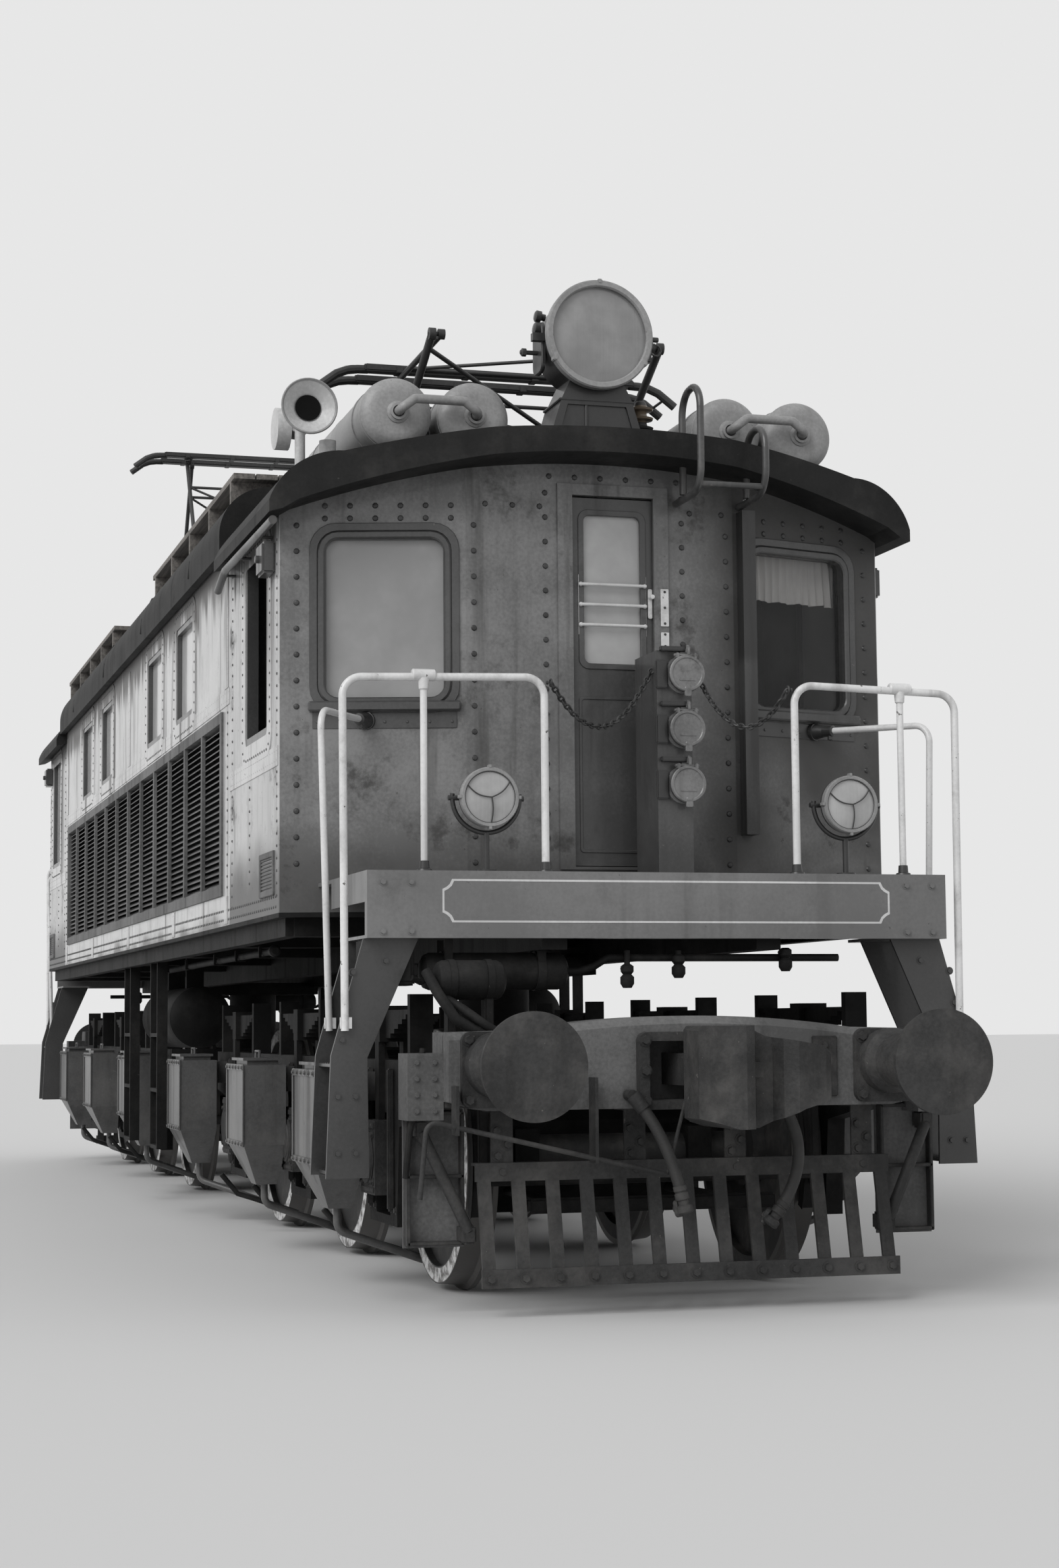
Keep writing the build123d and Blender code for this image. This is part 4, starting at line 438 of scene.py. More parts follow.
class Solid:
    """Collects closed shapes in one mesh."""

    def __init__(self):
        self.mesh = bmesh.new()

    def ring(self, points):
        return [self.mesh.verts.new(point) for point in points]

    def skin(self, low, high):
        # quads between two rings, or a fan where one of them is a single point
        count = max(len(low), len(high))
        for i in range(count):
            j = (i + 1) % count
            if len(low) == 1:
                self.mesh.faces.new((low[0], high[j], high[i]))
            elif len(high) == 1:
                self.mesh.faces.new((low[i], low[j], high[0]))
            else:
                self.mesh.faces.new((low[i], low[j], high[j], high[i]))

    def tube(self, rings, shut):
        # a skin over all rings, with a face at both ends or back to the first ring
        if not shut:
            rings = rings + rings[:1]
        for low, high in zip(rings, rings[1:]):
            self.skin(low, high)
        if shut and len(rings[0]) > 1:
            self.mesh.faces.new(rings[0][::-1])
        if shut and len(rings[-1]) > 1:
            self.mesh.faces.new(rings[-1])

    def turned(self, point, along, profile, steps=28, shut=True):
        # a turned shape: distance along its axis and radius of each ring
        place = look_along(point, along)
        rings = []
        for height, radius in profile:
            angles = [2 * pi * i / steps for i in range(steps if radius > 0 else 1)]
            circle = [Vector((radius * cos(a), radius * sin(a), height)) for a in angles]
            rings.append(self.ring([place @ spot for spot in circle]))
        self.tube(rings, shut)

    def rod(self, start, end, radius, steps=12):
        length = (Vector(end) - Vector(start)).length
        soft = min(radius * 0.2, length * 0.2)
        profile = [(0, radius - soft), (soft, radius), (length - soft, radius), (length, radius - soft)]
        self.turned(start, Vector(end) - Vector(start), profile, steps)

    def strap(self, point, along, inner, outer, wide, steps=32):
        # a flat band round a drum
        self.turned(point, along, [(0, inner), (0, outer), (wide, outer), (wide, inner)], steps, False)

    def pipe(self, points, radius, steps=10, loop=False):
        # a round bar through the points, turned as little as possible on its way
        points = [Vector(p) for p in points]
        count = len(points)
        rings = []
        across = None
        for i, point in enumerate(points):
            before = points[i - 1] if i or loop else point
            after = points[(i + 1) % count] if i < count - 1 or loop else point
            along = (after - before).normalized()
            start = across if across else along.orthogonal()
            across = (start - along * start.dot(along)).normalized()
            other = along.cross(across)
            angles = [2 * pi * k / steps for k in range(steps)]
            rings.append(self.ring([point + (across * cos(a) + other * sin(a)) * radius for a in angles]))
        self.tube(rings, not loop)

    def plate(self, place, outline, depth, edge=0.0, hole=None):
        # an outline in the place's own X and Y, raised by depth along its Z, with an optional hole
        rims = []
        for loop, inward in ((outline, edge), (hole, -edge)):
            if loop:
                low = self.ring([place @ Vector((x, y, 0)) for x, y in loop])
                high = self.ring([place @ Vector((x, y, depth - edge)) for x, y in loop])
                top = self.ring([place @ Vector((x, y, depth)) for x, y in inset(loop, inward)])
                if loop is hole:
                    low, high, top = low[::-1], high[::-1], top[::-1]
                self.skin(low, high)
                self.skin(high, top)
                rims.append((low, top))
        if hole:
            self.skin(rims[0][1], rims[1][1][::-1])
            self.skin(rims[1][0][::-1], rims[0][0])
        else:
            self.mesh.faces.new(rims[0][1])
            self.mesh.faces.new(rims[0][0][::-1])

    def box(self, x0, x1, y0, y1, z0, z1, edge=0.002):
        # a box with softened edges
        made = bmesh.ops.create_cube(self.mesh, size=1)["verts"]
        low = Vector((min(x0, x1), min(y0, y1), min(z0, z1)))
        high = Vector((max(x0, x1), max(y0, y1), max(z0, z1)))
        size = high - low
        for vert in made:
            vert.co = low + Vector((size[i] * (vert.co[i] + 0.5) for i in range(3)))
        edges = list({e for vert in made for e in vert.link_edges})
        soft = min(edge, min(size) * 0.3)
        bmesh.ops.bevel(self.mesh, geom=edges, offset=soft, segments=2, affect="EDGES")

    def block(self, x, half_x, y, half_y, z0, z1, edge=0.002):
        # a box whose middle is given along X and Y
        self.box(x - half_x, x + half_x, y - half_y, y + half_y, z0, z1, edge)

    def also(self, matrix):
        # the same solids once more, moved by a matrix
        every = self.mesh.verts[:] + self.mesh.edges[:] + self.mesh.faces[:]
        copied = bmesh.ops.duplicate(self.mesh, geom=every)["geom"]
        verts = [part for part in copied if isinstance(part, bmesh.types.BMVert)]
        bmesh.ops.transform(self.mesh, matrix=matrix, verts=verts)

    def to_mesh(self, name, turn=None):
        copy = self.mesh.copy()
        if turn:
            bmesh.ops.transform(copy, matrix=turn, verts=copy.verts)
        bmesh.ops.recalc_face_normals(copy, faces=copy.faces)
        mesh = bpy.data.meshes.new(name)
        copy.to_mesh(mesh)
        copy.free()
        return smoothed(mesh, 32)


def inset(loop, by):
    # the loop pulled inwards; its corners are taken as they come, anticlockwise
    if not by:
        return loop
    points = [Vector(p) for p in loop]
    pulled = []
    for i, point in enumerate(points):
        first = (point - points[i - 1]).normalized()
        second = (points[(i + 1) % len(points)] - point).normalized()
        normal = Vector((-first.y - second.y, first.x + second.x))
        normal = normal.normalized() if normal.length > 1e-6 else Vector((-first.y, first.x))
        lean = max(0.4, normal.dot(Vector((-first.y, first.x))))
        pulled.append(tuple(point + normal * by / lean))
    return pulled


def rounded(width, height, radius, middle=(0, 0), steps=5):
    # a rectangle with round corners, anticlockwise
    loop = []
    for side, up, start in ((1, -1, -90), (1, 1, 0), (-1, 1, 90), (-1, -1, 180)):
        x = middle[0] + side * (width / 2 - radius)
        y = middle[1] + up * (height / 2 - radius)
        for i in range(steps + 1):
            angle = radians(start + 90 * i / steps)
            loop.append((x + radius * cos(angle), y + radius * sin(angle)))
    return loop


def arc(middle, radius, end, steps, across_x=True):
    # points on an arc in the plane across X, or else across Y; angles in degrees
    points = []
    for i in range(steps + 1):
        a = radians(end * i / steps)
        u, v = radius * cos(a), radius * sin(a)
        points.append(tuple(m + s for m, s in zip(middle, (0, u, v) if across_x else (u, 0, v))))
    return points


def lens_shape(outer, lip, swell, radii):
    # the profile of a bulging glass with a straight lip
    bulge = [(lip + swell * (1 - (r / radii[0]) ** 2), r) for r in radii]
    return [(0, outer), (lip, outer)] + bulge + [(lip + swell, 0)]


def add_piece(name, mesh, material, slot, body, *hidden):
    thing = bpy.data.objects.new(name, mesh)
    bpy.context.scene.collection.objects.link(thing)
    mesh.materials.clear()
    mesh.materials.append(material)
    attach(thing, body)
    if hidden:
        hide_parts(*hidden)
    return thing


def on_body(name, solid, material, slot, both=True):
    # a piece of the body, at the front and turned half a circle at the rear
    if both:
        solid.also(HALF_TURN)
    add_piece(name, solid.to_mesh(name), material, slot, "body")


def on_ends(name, solid, material, slot, bodies="bogie_{}"):
    # the same piece on a front body and on the rear one
    for end, turn in (("front", None), ("rear", HALF_TURN)):
        mesh = solid.to_mesh(f"{name}_{end}", turn)
        add_piece(f"{name}_{end}", mesh, material, slot, bodies.format(end))


# ---------------------------------------------------------------- repeated parts by geometry nodes

class Recipe(Tree):
    """A geometry node tree with named inputs that ends in plain geometry with one material."""

    def __init__(self, name, **inputs):
        self.group = bpy.data.node_groups.new(name, "GeometryNodeTree")
        super().__init__(self.group)
        sockets = self.group.interface
        sockets.new_socket("Geometry", in_out="INPUT", socket_type="NodeSocketGeometry")
        sockets.new_socket("Paint", in_out="INPUT", socket_type="NodeSocketMaterial")
        for label, value in inputs.items():
            made = sockets.new_socket(label, in_out="INPUT", socket_type="NodeSocketFloat")
            made.default_value = value
        sockets.new_socket("Geometry", in_out="OUTPUT", socket_type="NodeSocketGeometry")
        self.starts = self.group.nodes.new("NodeGroupInput")

    def given(self, label):
        return Link(self, self.starts.outputs[label])

    def facing(self):
        values = {"Name": "facing"}
        return self.node("GeometryNodeInputNamedAttribute", {"data_type": "FLOAT_VECTOR"}, values)

    def spaced(self):
        # the edges as lines with a point at every pitch
        line = self.node("GeometryNodeMeshToCurve", None, {"Mesh": self.given("Geometry")})
        values = {"Curve": line, "Length": self.given("Pitch")}
        return self.node("GeometryNodeResampleCurve", {"mode": "LENGTH"}, values)

    def at_points(self, points, head, along, axis="Z", turn=None):
        # one head at every point, its own axis looking along a direction
        values = {"Vector": along}
        if turn:
            values["Rotation"] = turn
        aim = self.node("FunctionNodeAlignRotationToVector", {"axis": axis}, values)
        values = {"Points": points, "Instance": head, "Rotation": aim}
        instances = self.node("GeometryNodeInstanceOnPoints", None, values)
        real = self.node("GeometryNodeRealizeInstances", None, {"Geometry": instances})
        values = {"Geometry": real, "Material": self.given("Paint")}
        painted = self.node("GeometryNodeSetMaterial", None, values)
        end = self.group.nodes.new("NodeGroupOutput")
        self.tree.links.new(painted.out, end.inputs["Geometry"])
        return self

    def make(self, name, source, paint, **values):
        # the plain mesh that the tree makes out of a source mesh
        seed = bpy.data.objects.new(name, source)
        bpy.context.scene.collection.objects.link(seed)
        modifier = seed.modifiers.new("recipe", "NODES")
        modifier.node_group = self.group
        items = self.group.interface.items_tree
        keys = {item.name: item.identifier for item in items if item.in_out == "INPUT"}
        modifier[keys["Paint"]] = paint
        for label, value in values.items():
            modifier[keys[label]] = value
        evaluated = seed.evaluated_get(bpy.context.evaluated_depsgraph_get())
        mesh = bpy.data.meshes.new_from_object(evaluated)
        mesh.name = name
        seed.modifiers.remove(modifier)
        bpy.data.objects.remove(seed)
        return smoothed(mesh, 40)


def rivet_recipe():
    # button heads along the edges of a mesh, at an even pitch
    r = Recipe("rivet_rows", Pitch=0.12, Radius=0.012, Flatness=0.6)
    values = {"Segments": 8, "Rings": 4, "Radius": r.given("Radius")}
    ball = r.node("GeometryNodeMeshUVSphere", None, values)
    flat = r.node("ShaderNodeCombineXYZ", None, {0: 1.0, 1: 1.0, 2: r.given("Flatness")})
    head = r.node("GeometryNodeTransform", None, {"Geometry": ball, "Scale": flat})
    return r.at_points(r.spaced(), head, r.facing())


def bolt_recipe():
    # hexagon heads on washers, one at every point of a mesh
    r = Recipe("hexagon_bolts", Radius=0.016, Height=0.012)
    wide, tall = r.given("Radius"), r.given("Height")
    values = {"Vertices": 6, "Radius Top": wide * 0.88, "Radius Bottom": wide, "Depth": tall}
    head = r.node("GeometryNodeMeshCone", None, values)
    values = {"Vertices": 12, "Radius": wide * 1.35, "Depth": wide * 0.35}
    washer = r.node("GeometryNodeMeshCylinder", None, values)
    both = r.node("GeometryNodeJoinGeometry")
    for part in (head, washer):
        r.tree.links.new(part.out, both.out.node.inputs[0])
    return r.at_points(r.given("Geometry"), both, r.facing())


def chain_recipe():
    # oval links along the edges of a mesh, every other one turned a quarter
    r = Recipe("chain_links", Pitch=0.03, Wire=0.0045, Width=0.011)

    def circle(resolution, label):
        values = {"Resolution": resolution, "Radius": r.given(label)}
        return r.node("GeometryNodeCurvePrimitiveCircle", None, values)
    longer = r.given("Pitch") * 0.66 / r.given("Width")
    oval = r.node("ShaderNodeCombineXYZ", None, {0: longer, 1: 1.0, 2: 1.0})
    values = {"Geometry": circle(10, "Width"), "Scale": oval}
    values = {"Curve": r.node("GeometryNodeTransform", None, values), "Profile Curve": circle(6, "Wire")}
    link = r.node("GeometryNodeCurveToMesh", None, values)
    place = r.node("GeometryNodeInputIndex")
    quarter = r.node("ShaderNodeCombineXYZ", None, {0: place.modulo(2.0) * (pi / 2)})
    turn = r.node("FunctionNodeEulerToRotation", None, {0: quarter})
    return r.at_points(r.spaced(), link, r.node("GeometryNodeInputTangent"), "X", turn)


def facing_mesh(name, lines):
    # lines of points with a direction each line faces; one point alone gives no edge
    mesh = bpy.data.meshes.new(name)
    verts, edges, faces = [], [], []
    for facing, points in lines:
        first = len(verts)
        verts += [tuple(point) for point in points]
        edges += [(first + i, first + i + 1) for i in range(len(points) - 1)]
        faces += [tuple(facing)] * len(points)
    mesh.from_pydata(verts, edges, [])
    layer = mesh.attributes.new("facing", "FLOAT_VECTOR", "POINT")
    layer.data.foreach_set("vector", [value for facing in faces for value in facing])
    return mesh


def turned_lines(lines):
    spin = HALF_TURN.to_3x3()
    return [(spin @ Vector(facing), [HALF_TURN @ Vector(p) for p in points]) for facing, points in lines]


def row(recipe, name, lines, material, slot, *hidden, body="body", both=True, **sizes):
    # the recipe's heads or links along the lines, and again at the rear
    if both:
        lines = lines + turned_lines(lines)
    mesh = recipe.make(name, facing_mesh(name, lines), material, **sizes)
    add_piece(name, mesh, material, slot, body, *hidden)


def bolts(name, lines, material, slot, radius, height, body="body", both=True):
    # bolt heads; the lines come from dots()
    row(BOLTS, name, lines, material, slot, body=body, both=both, Radius=radius, Height=height)


def end_bolts(name, lines, material, slot, radius, height):
    for end, turned in (("front", lines), ("rear", turned_lines(lines))):
        bolts(f"{name}_{end}", turned, material, slot, radius, height, f"bogie_{end}", False)


def dots(points, facing=AHEAD):
    # one line for every point, for a single head at each
    return [(facing, [point]) for point in points]


RIVETS = rivet_recipe()
BOLTS = bolt_recipe()
LINKS = chain_recipe()


# ---------------------------------------------------------------- brake hoses, the free ends first

# cock, bend and lower end of each hose, as in the CAD
HOSES = {
    "near": ((7.520, -0.310, 0.950), (7.580, -0.165, 0.740), (7.600, -0.115, 0.500)),
    "far": ((7.520, 0.360, 0.950), (7.590, 0.505, 0.650), (7.565, 0.335, 0.425)),
}
HOSE_D = 0.052


def brake_hose(name, side, turn, body, node):
    cock, bend, low = [turn @ Vector(p) for p in HOSES[side]]
    start = cock + (bend - cock) * 0.3
    curve = bpy.data.curves.new(name, "CURVE")
    curve.dimensions = "3D"
    curve.bevel_depth = HOSE_D / 2
    curve.bevel_resolution = 5
    curve.use_fill_caps = True
    line = curve.splines.new("NURBS")
    line.points.add(2)
    for point, place in zip(line.points, (start, bend, low)):
        point.co = (*place, 1)
    line.order_u = 3
    line.use_endpoint_u = True
    line.resolution_u = 24
    hose = add_piece(name, curve, RUBBER, "hose_rubber", body, node)

    # clamp, sleeve and the claw of the coupling
    along = (low - bend).normalized()
    head = Solid()
    clamp = [(0, 0.027), (0.002, 0.03), (0.022, 0.03), (0.024, 0.0275)]
    head.turned(low - along * 0.06, along, clamp, 20, False)
    sleeve = [(0, 0.0265), (0.004, 0.031), (0.03, 0.031), (0.036, 0.024), (0.052, 0.024),
              (0.06, 0.036), (0.085, 0.038), (0.092, 0.03), (0.092, 0.0)]
    head.turned(low - along * 0.03, along, sleeve, 20)
    across = along.orthogonal().normalized()
    grip = low + along * 0.035
    head.plate(look_along(grip + across * 0.02, across), rounded(0.05, 0.075, 0.018), 0.022, 0.004)
    head.turned(grip + across * 0.042, across, [(0, 0.017), (0.008, 0.015), (0.008, 0.008), (0.002, 0.0)], 16)
    claw = add_piece(f"{name}_coupling", head.to_mesh(name), CAST, "cast_gear", body, node)


# ---------------------------------------------------------------- the shape of the walls

WALL_X, CREASE, TURN = 6.17, 0.7, radians(15)


def front_wall(y, z):
    # a point on the front wall
    return Vector((WALL_X - max(0.0, abs(y) - CREASE) * tan(TURN), y, z))


def front_facing(y):
    if abs(y) <= CREASE:
        return AHEAD
    return Vector((cos(TURN), sin(TURN) * (1 if y > 0 else -1), 0))


def window_place(side):
    # middle of a front window, looking out of the wall, Y upwards
    return look_along(front_wall(side * 1.0875, 3.2575), front_facing(side))


def front_rivets():
    rows = []
    for side in SIDES:
        rows += [(side * 0.77, z, side * 1.37, z) for z in (3.817, 3.754)]
        rows += [(side * y, 3.72, side * y, 2.05) for y in (1.505, 0.66)]
    rows += [(-0.6, 3.83, -0.32, 3.83), (0.47, 3.83, 0.64, 3.83), (-0.27, 3.985, 0.4, 3.985)]
    rows += [(y, 3.9, y, 2.05) for y in (-0.292, 0.426)]
    return [(front_facing((y0 + y1) / 2), [front_wall(y0, z0), front_wall(y1, z1)])
            for y0, z0, y1, z1 in rows]


# plate joints, and the middle and half the width of each window in the side wall
JOINTS = (0.0, 2.286, 4.333)
BORDERS = ((2.722, 0.35), (1.348, 0.35))
CAB_BORDER = (5.29, 0.33)
WINDOW_Z, CAB_WINDOW_Z = (3.13, 3.73), (2.72, 3.66)


def window_border(side, x, half, low, high):
    # a row of rivets round a window, with round corners
    y = side * (SIDE_Y + 0.004)
    loop = rounded(2 * (half + 0.075), high - low + 0.15, 0.09, (x, (low + high) / 2), 3)
    return ((0, side, 0), [(u, y, v) for u, v in loop + loop[:1]])


def side_rivets(side):
    def line(x0, z0, x1, z1):
        return ((0, side, 0), [(x0, side * SIDE_Y, z0), (x1, side * SIDE_Y, z1)])
    lines = []
    for end in (1, -1):
        for x in JOINTS:
            for dx in (-0.035, 0.035):
                if x != JOINTS[-1] or dx > 0:
                    u = end * x + dx
                    lines += [line(u, 3.13, u, 3.76), line(u, 1.9, u, 1.95)]
        lines.append(line(end * 4.368, 1.9, end * 4.368, 3.76))
        lines += [window_border(side, end * x, half, *WINDOW_Z) for x, half in BORDERS]
        lines.append(window_border(side, end * CAB_BORDER[0], CAB_BORDER[1], *CAB_WINDOW_Z))
        lines += [line(end * 4.5, z, end * 5.88, z) for z in (2.56, 2.61)]
        for x, low, high in ((5.085, 2.0, 2.5), (5.875, 1.9, 3.66), (4.53, 1.9, 3.7)):
            lines.append(line(end * x, low, end * x, high))
    lines += [line(-4.42, z, 4.42, z) for z in (3.045, 3.09)]
    lines += [line(-5.85, z, 5.85, z) for z in (1.845, 1.895)]
    return lines


def wall_rivets():
    row(RIVETS, "front_rivets", front_rivets(), RIVET, "front_paint", Pitch=0.122, Radius=0.0155)
    for side, hand in ((-1, "right"), (1, "left")):
        row(RIVETS, f"{hand}_side_rivets", side_rivets(side), RIVET, "side_paint", both=False,
            Pitch=0.06, Radius=0.0082)


# ---------------------------------------------------------------- side trim: strips, window borders, grilles

def side_trim():
    strips = Solid()
    for side in SIDES:
        y0, y1 = side * (SIDE_Y - 0.001), side * (SIDE_Y + 0.004)
        for end in (1, -1):
            for x in JOINTS:
                if x or end > 0:
                    strips.box(end * x - 0.06, end * x + 0.06, y0, y1, 3.115, 3.79, 0.001)
                    strips.box(end * x - 0.06, end * x + 0.06, y0, y1, 1.82, 1.972, 0.001)
            for x, half in BORDERS + (CAB_BORDER,):
                low, high = CAB_WINDOW_Z if x > 5 else WINDOW_Z
                place = look_along((end * x, y0, (low + high) / 2), (0, side, 0))
                outer = rounded(2 * (half + 0.11), high - low + 0.22, 0.12)
                inner = rounded(2 * half - 0.004, high - low - 0.004, 0.04)
                strips.plate(place, outer, 0.006, 0.001, inner)
            strips.box(end * 4.46, end * 5.9, y0, y1, 2.535, 2.635, 0.001)
        strips.box(-4.43, 4.43, y0, y1, 3.02, 3.112, 0.001)
    on_body("side_strips", strips, SIDE, "side_paint", False)

    grille = Solid()
    for side in SIDES:
        for end in (1, -1):
            x = end * 5.62
            place = look_along((x, side * (SIDE_Y - 0.001), 2.015), (0, side, 0))
            grille.plate(place, rounded(0.4, 0.22, 0.012), 0.012, 0.003, rounded(0.34, 0.16, 0.006))
            for i in range(9):
                z = 1.945 + i * 0.0175
                y0, y1 = side * SIDE_Y, side * (SIDE_Y + 0.006)
                grille.box(x - 0.17, x + 0.17, y0, y1, z, z + 0.009, 0.001)
    on_body("side_grilles", grille, LOUVRE, "louvre_paint", False)

    # box with its switch beside the cab window
    box = Solid()
    for side in SIDES:
        box.box(5.66, 5.84, side * SIDE_Y, side * (SIDE_Y + 0.07), 3.5, 3.66, 0.012)
        box.rod((5.75, side * (SIDE_Y + 0.06), 3.58), (5.75, side * (SIDE_Y + 0.09), 3.58), 0.02)
    on_body("side_boxes", box, RIM, "rim_paint")


# ---------------------------------------------------------------- front windows, curtains and door

def front_windows():
    trim, lines = Solid(), []
    wide = 0.6885
    for side in SIDES:
        place = window_place(side)
        seat = place @ Matrix.Translation((0, 0, -0.001))
        outer, inner = rounded(wide + 0.05, 0.945, 0.13), rounded(wide - 0.03, 0.865, 0.1)
        trim.plate(seat, outer, 0.012, 0.003, inner)
        outer, inner = rounded(wide - 0.036, 0.86, 0.098), rounded(wide - 0.1, 0.79, 0.07)
        trim.plate(seat, outer, 0.02, 0.006, inner)
        # sill ledge and the plate under it
        ledge, under = [seat @ Matrix.Translation((0, y, 0)) for y in (-0.44, -0.505)]
        trim.plate(ledge, rounded(wide + 0.06, 0.05, 0.012), 0.045, 0.008)
        trim.plate(under, rounded(wide + 0.02, 0.085, 0.006), 0.006, 0.002)
        lines.append((front_facing(side), [place @ Vector((x, -0.515, 0.006)) for x in (-0.33, 0.33)]))
    on_body("front_window_mouldings", trim, RIM, "rim_paint")
    row(RIVETS, "sill_screws", lines, RIM, "rim_paint", Pitch=0.11, Radius=0.008)


def curtain_mesh(name, place, width, height, folds):
    # gathered cloth: deep at the heading, looser and wider waves at the hem
    bm = bmesh.new()
    across, down = folds * 10, 8
    grid = []
    for j in range(down + 1):
        fall = j / down
        grid.append([])
        for i in range(across + 1):
            u = i / across
            depth = 0.011 + 0.004 * sin(5 * u + 3 * fall)
            wave = sin(2 * pi * folds * u + 0.7 * sin(9 * u + 2 * fall)) * depth
            sway = 0.006 * sin(7 * u + 1.3) * fall
            x = (u - 0.5) * width + 0.004 * sin(4 * pi * folds * u) * fall
            y = height * (0.5 - fall) + 0.004 * sin(31 * u) * fall
            grid[-1].append(bm.verts.new(place @ Vector((x, y, wave + sway))))
    for upper, lower in zip(grid, grid[1:]):
        for i in range(across):
            bm.faces.new((upper[i], lower[i], lower[i + 1], upper[i + 1]))
    mesh = bpy.data.meshes.new(name)
    bm.to_mesh(mesh)
    bm.free()
    return smoothed(mesh)


def curtains():
    for end, turn in ENDS:
        for side, hand in ((-1, "right"), (1, "left")):
            place = turn @ window_place(side) @ Matrix.Translation((0, 0.3, -0.11))
            name = f"{end}_{hand}_curtain"
            mesh = curtain_mesh(name, place, 0.64, 0.26, 14)
            cloth_piece = add_piece(name, mesh, CURTAIN, "side_paint", "body")
            rail = Solid()
            rail.rod(place @ Vector((-0.34, 0.128, 0)), place @ Vector((0.34, 0.128, 0)), 0.006, 8)
            add_piece(f"{name}_rail", rail.to_mesh(name), STEEL, "wheel_steel", "body")


LEAF_X, DOOR_MID = 6.155, 0.06
GUARD_Z = (3.244, 3.346, 3.448)


def cab_doors():
    place = look_along((LEAF_X - 0.001, DOOR_MID, 3.425), AHEAD)
    trim = Solid()
    trim.plate(place, rounded(0.355, 0.805, 0.05), 0.008, 0.002, rounded(0.298, 0.748, 0.033))
    panel = place @ Matrix.Translation((0, -0.93, 0))
    trim.plate(panel, rounded(0.36, 0.78, 0.02), 0.006, 0.002, rounded(0.33, 0.75, 0.015))
    on_ends("door_moulding", trim, DOOR, "front_paint", "cab_door_{}")

    # bright strips with studs, and the guard bars they hold
    bright = Solid()
    stud = [(0, 0.011), (0.012, 0.011), (0.018, 0.006), (0.018, 0)]
    for y in (DOOR_MID - 0.168, DOOR_MID + 0.168):
        strip = look_along((LEAF_X + 0.001, y, 3.346), AHEAD)
        bright.plate(strip, rounded(0.02, 0.31, 0.006), 0.005, 0.001)
        for z in GUARD_Z:
            bright.turned((LEAF_X + 0.004, y, z), AHEAD, stud, 12)
    for z in GUARD_Z:
        x = LEAF_X + 0.014
        bright.rod((x, DOOR_MID - 0.177, z), (x, DOOR_MID + 0.177, z), 0.0085)
    on_ends("door_guard", bright, STRIPE, "rail_white", "cab_door_{}")

    handle = Solid()
    lock = look_along((LEAF_X + 0.008, 0.2565, 3.36), AHEAD)
    handle.plate(lock, rounded(0.022, 0.15, 0.006), 0.004, 0.001)
    knob = [(0, 0.0105), (0.03, 0.0085), (0.034, 0.012), (0.046, 0.011), (0.05, 0)]
    handle.turned((LEAF_X + 0.01, 0.2555, 3.39), AHEAD, knob, 16)
    on_ends("door_handle", handle, WHITE, "rail_white", "cab_door_{}")

    plates = Solid()
    for z, tall in ((3.34, 0.19), (3.175, 0.08)):
        plates.plate(look_along((6.183, 0.327, z), AHEAD), rounded(0.042, tall, 0.004), 0.005, 0.001)
    on_body("door_post_plates", plates, WHITE, "rail_white")
    screws = dots([(6.188, 0.327, z) for z in (3.42, 3.34, 3.26, 3.205, 3.145)])
    bolts("door_post_screws", screws, LAMP, "lamp_paint", 0.005, 0.003)


# ---------------------------------------------------------------- handrails, columns and chains

RAIL_X = 7.032


def handrail_fittings():
    fit, feet = Solid(), Solid()
    socket = [(0, 0.026), (0.05, 0.022), (0.055, 0.017), (0.055, 0)]
    foot = [(0, 0.036), (0.008, 0.034), (0.012, 0.024), (0.045, 0.022), (0.05, 0)]
    x, z = RAIL_X, 2.85
    for inner, tee in ((-0.555, -1.125), (0.675, 1.215)):
        # clamp of the tee post under the top rail
        fit.rod((x, tee - 0.055, z - 0.006), (x, tee + 0.055, z - 0.006), 0.027, 18)
        fit.turned((x, tee, z - 0.02), -UP, socket, 18)
        # dark feet of the posts
        for y in (inner, tee):
            feet.turned((x, y, 1.954), UP, foot, 18)
    clamp = [(0, 0.045), (0.02, 0.045), (0.024, 0.03), (0.13, 0.028), (0.135, 0.02), (0.135, 0.0165)]
    for side in SIDES:
        # clamp that holds the rear rail to the wall
        wall, along = Vector((6.06, side * 1.183, 2.747)), Vector((0.873, side * 0.487, -0.038))
        feet.turned(wall - along * 0.02, along, clamp, 18, False)
        feet.turned(wall + along * 0.09 - UP * 0.02, -UP, [(0, 0.014), (0.025, 0.014), (0.03, 0)], 8)
    on_body("handrail_fittings", fit, WHITE, "rail_white")
    on_body("handrail_feet", feet, LAMP, "lamp_paint")

    eyes = Solid()
    for y, side in ((-0.545, 1), (0.665, -1)):
        eyes.pipe(arc((x, y + side * 0.022, 2.825), 0.016, 342, 14, False), 0.0045, 8, True)
        eyes.rod((x, y, 2.825), (x, y + side * 0.01, 2.825), 0.009)
    on_body("rail_eyes", eyes, CHAIN, "chain_steel")


def hanging(start, end, drop):
    # points of a hanging chain: a parabola through its ends
    steps = [i / 24 for i in range(25)]
    return [Vector(start).lerp(Vector(end), t) - UP * (4 * drop * t * (1 - t)) for t in steps]


def chains():
    runs = (((6.54, 0.13, 2.965), (RAIL_X, -0.515, 2.815), 0.23),
            ((6.54, 0.325, 3.045), (RAIL_X, 0.636, 2.815), 0.25))
    lines = [(UP, hanging(*run)) for run in runs]
    row(LINKS, "platform_chains", lines, CHAIN, "chain_steel", "chains",
        Pitch=0.029, Wire=0.0052, Width=0.0125)


SOCKET_Z = (2.943, 2.675, 2.406)


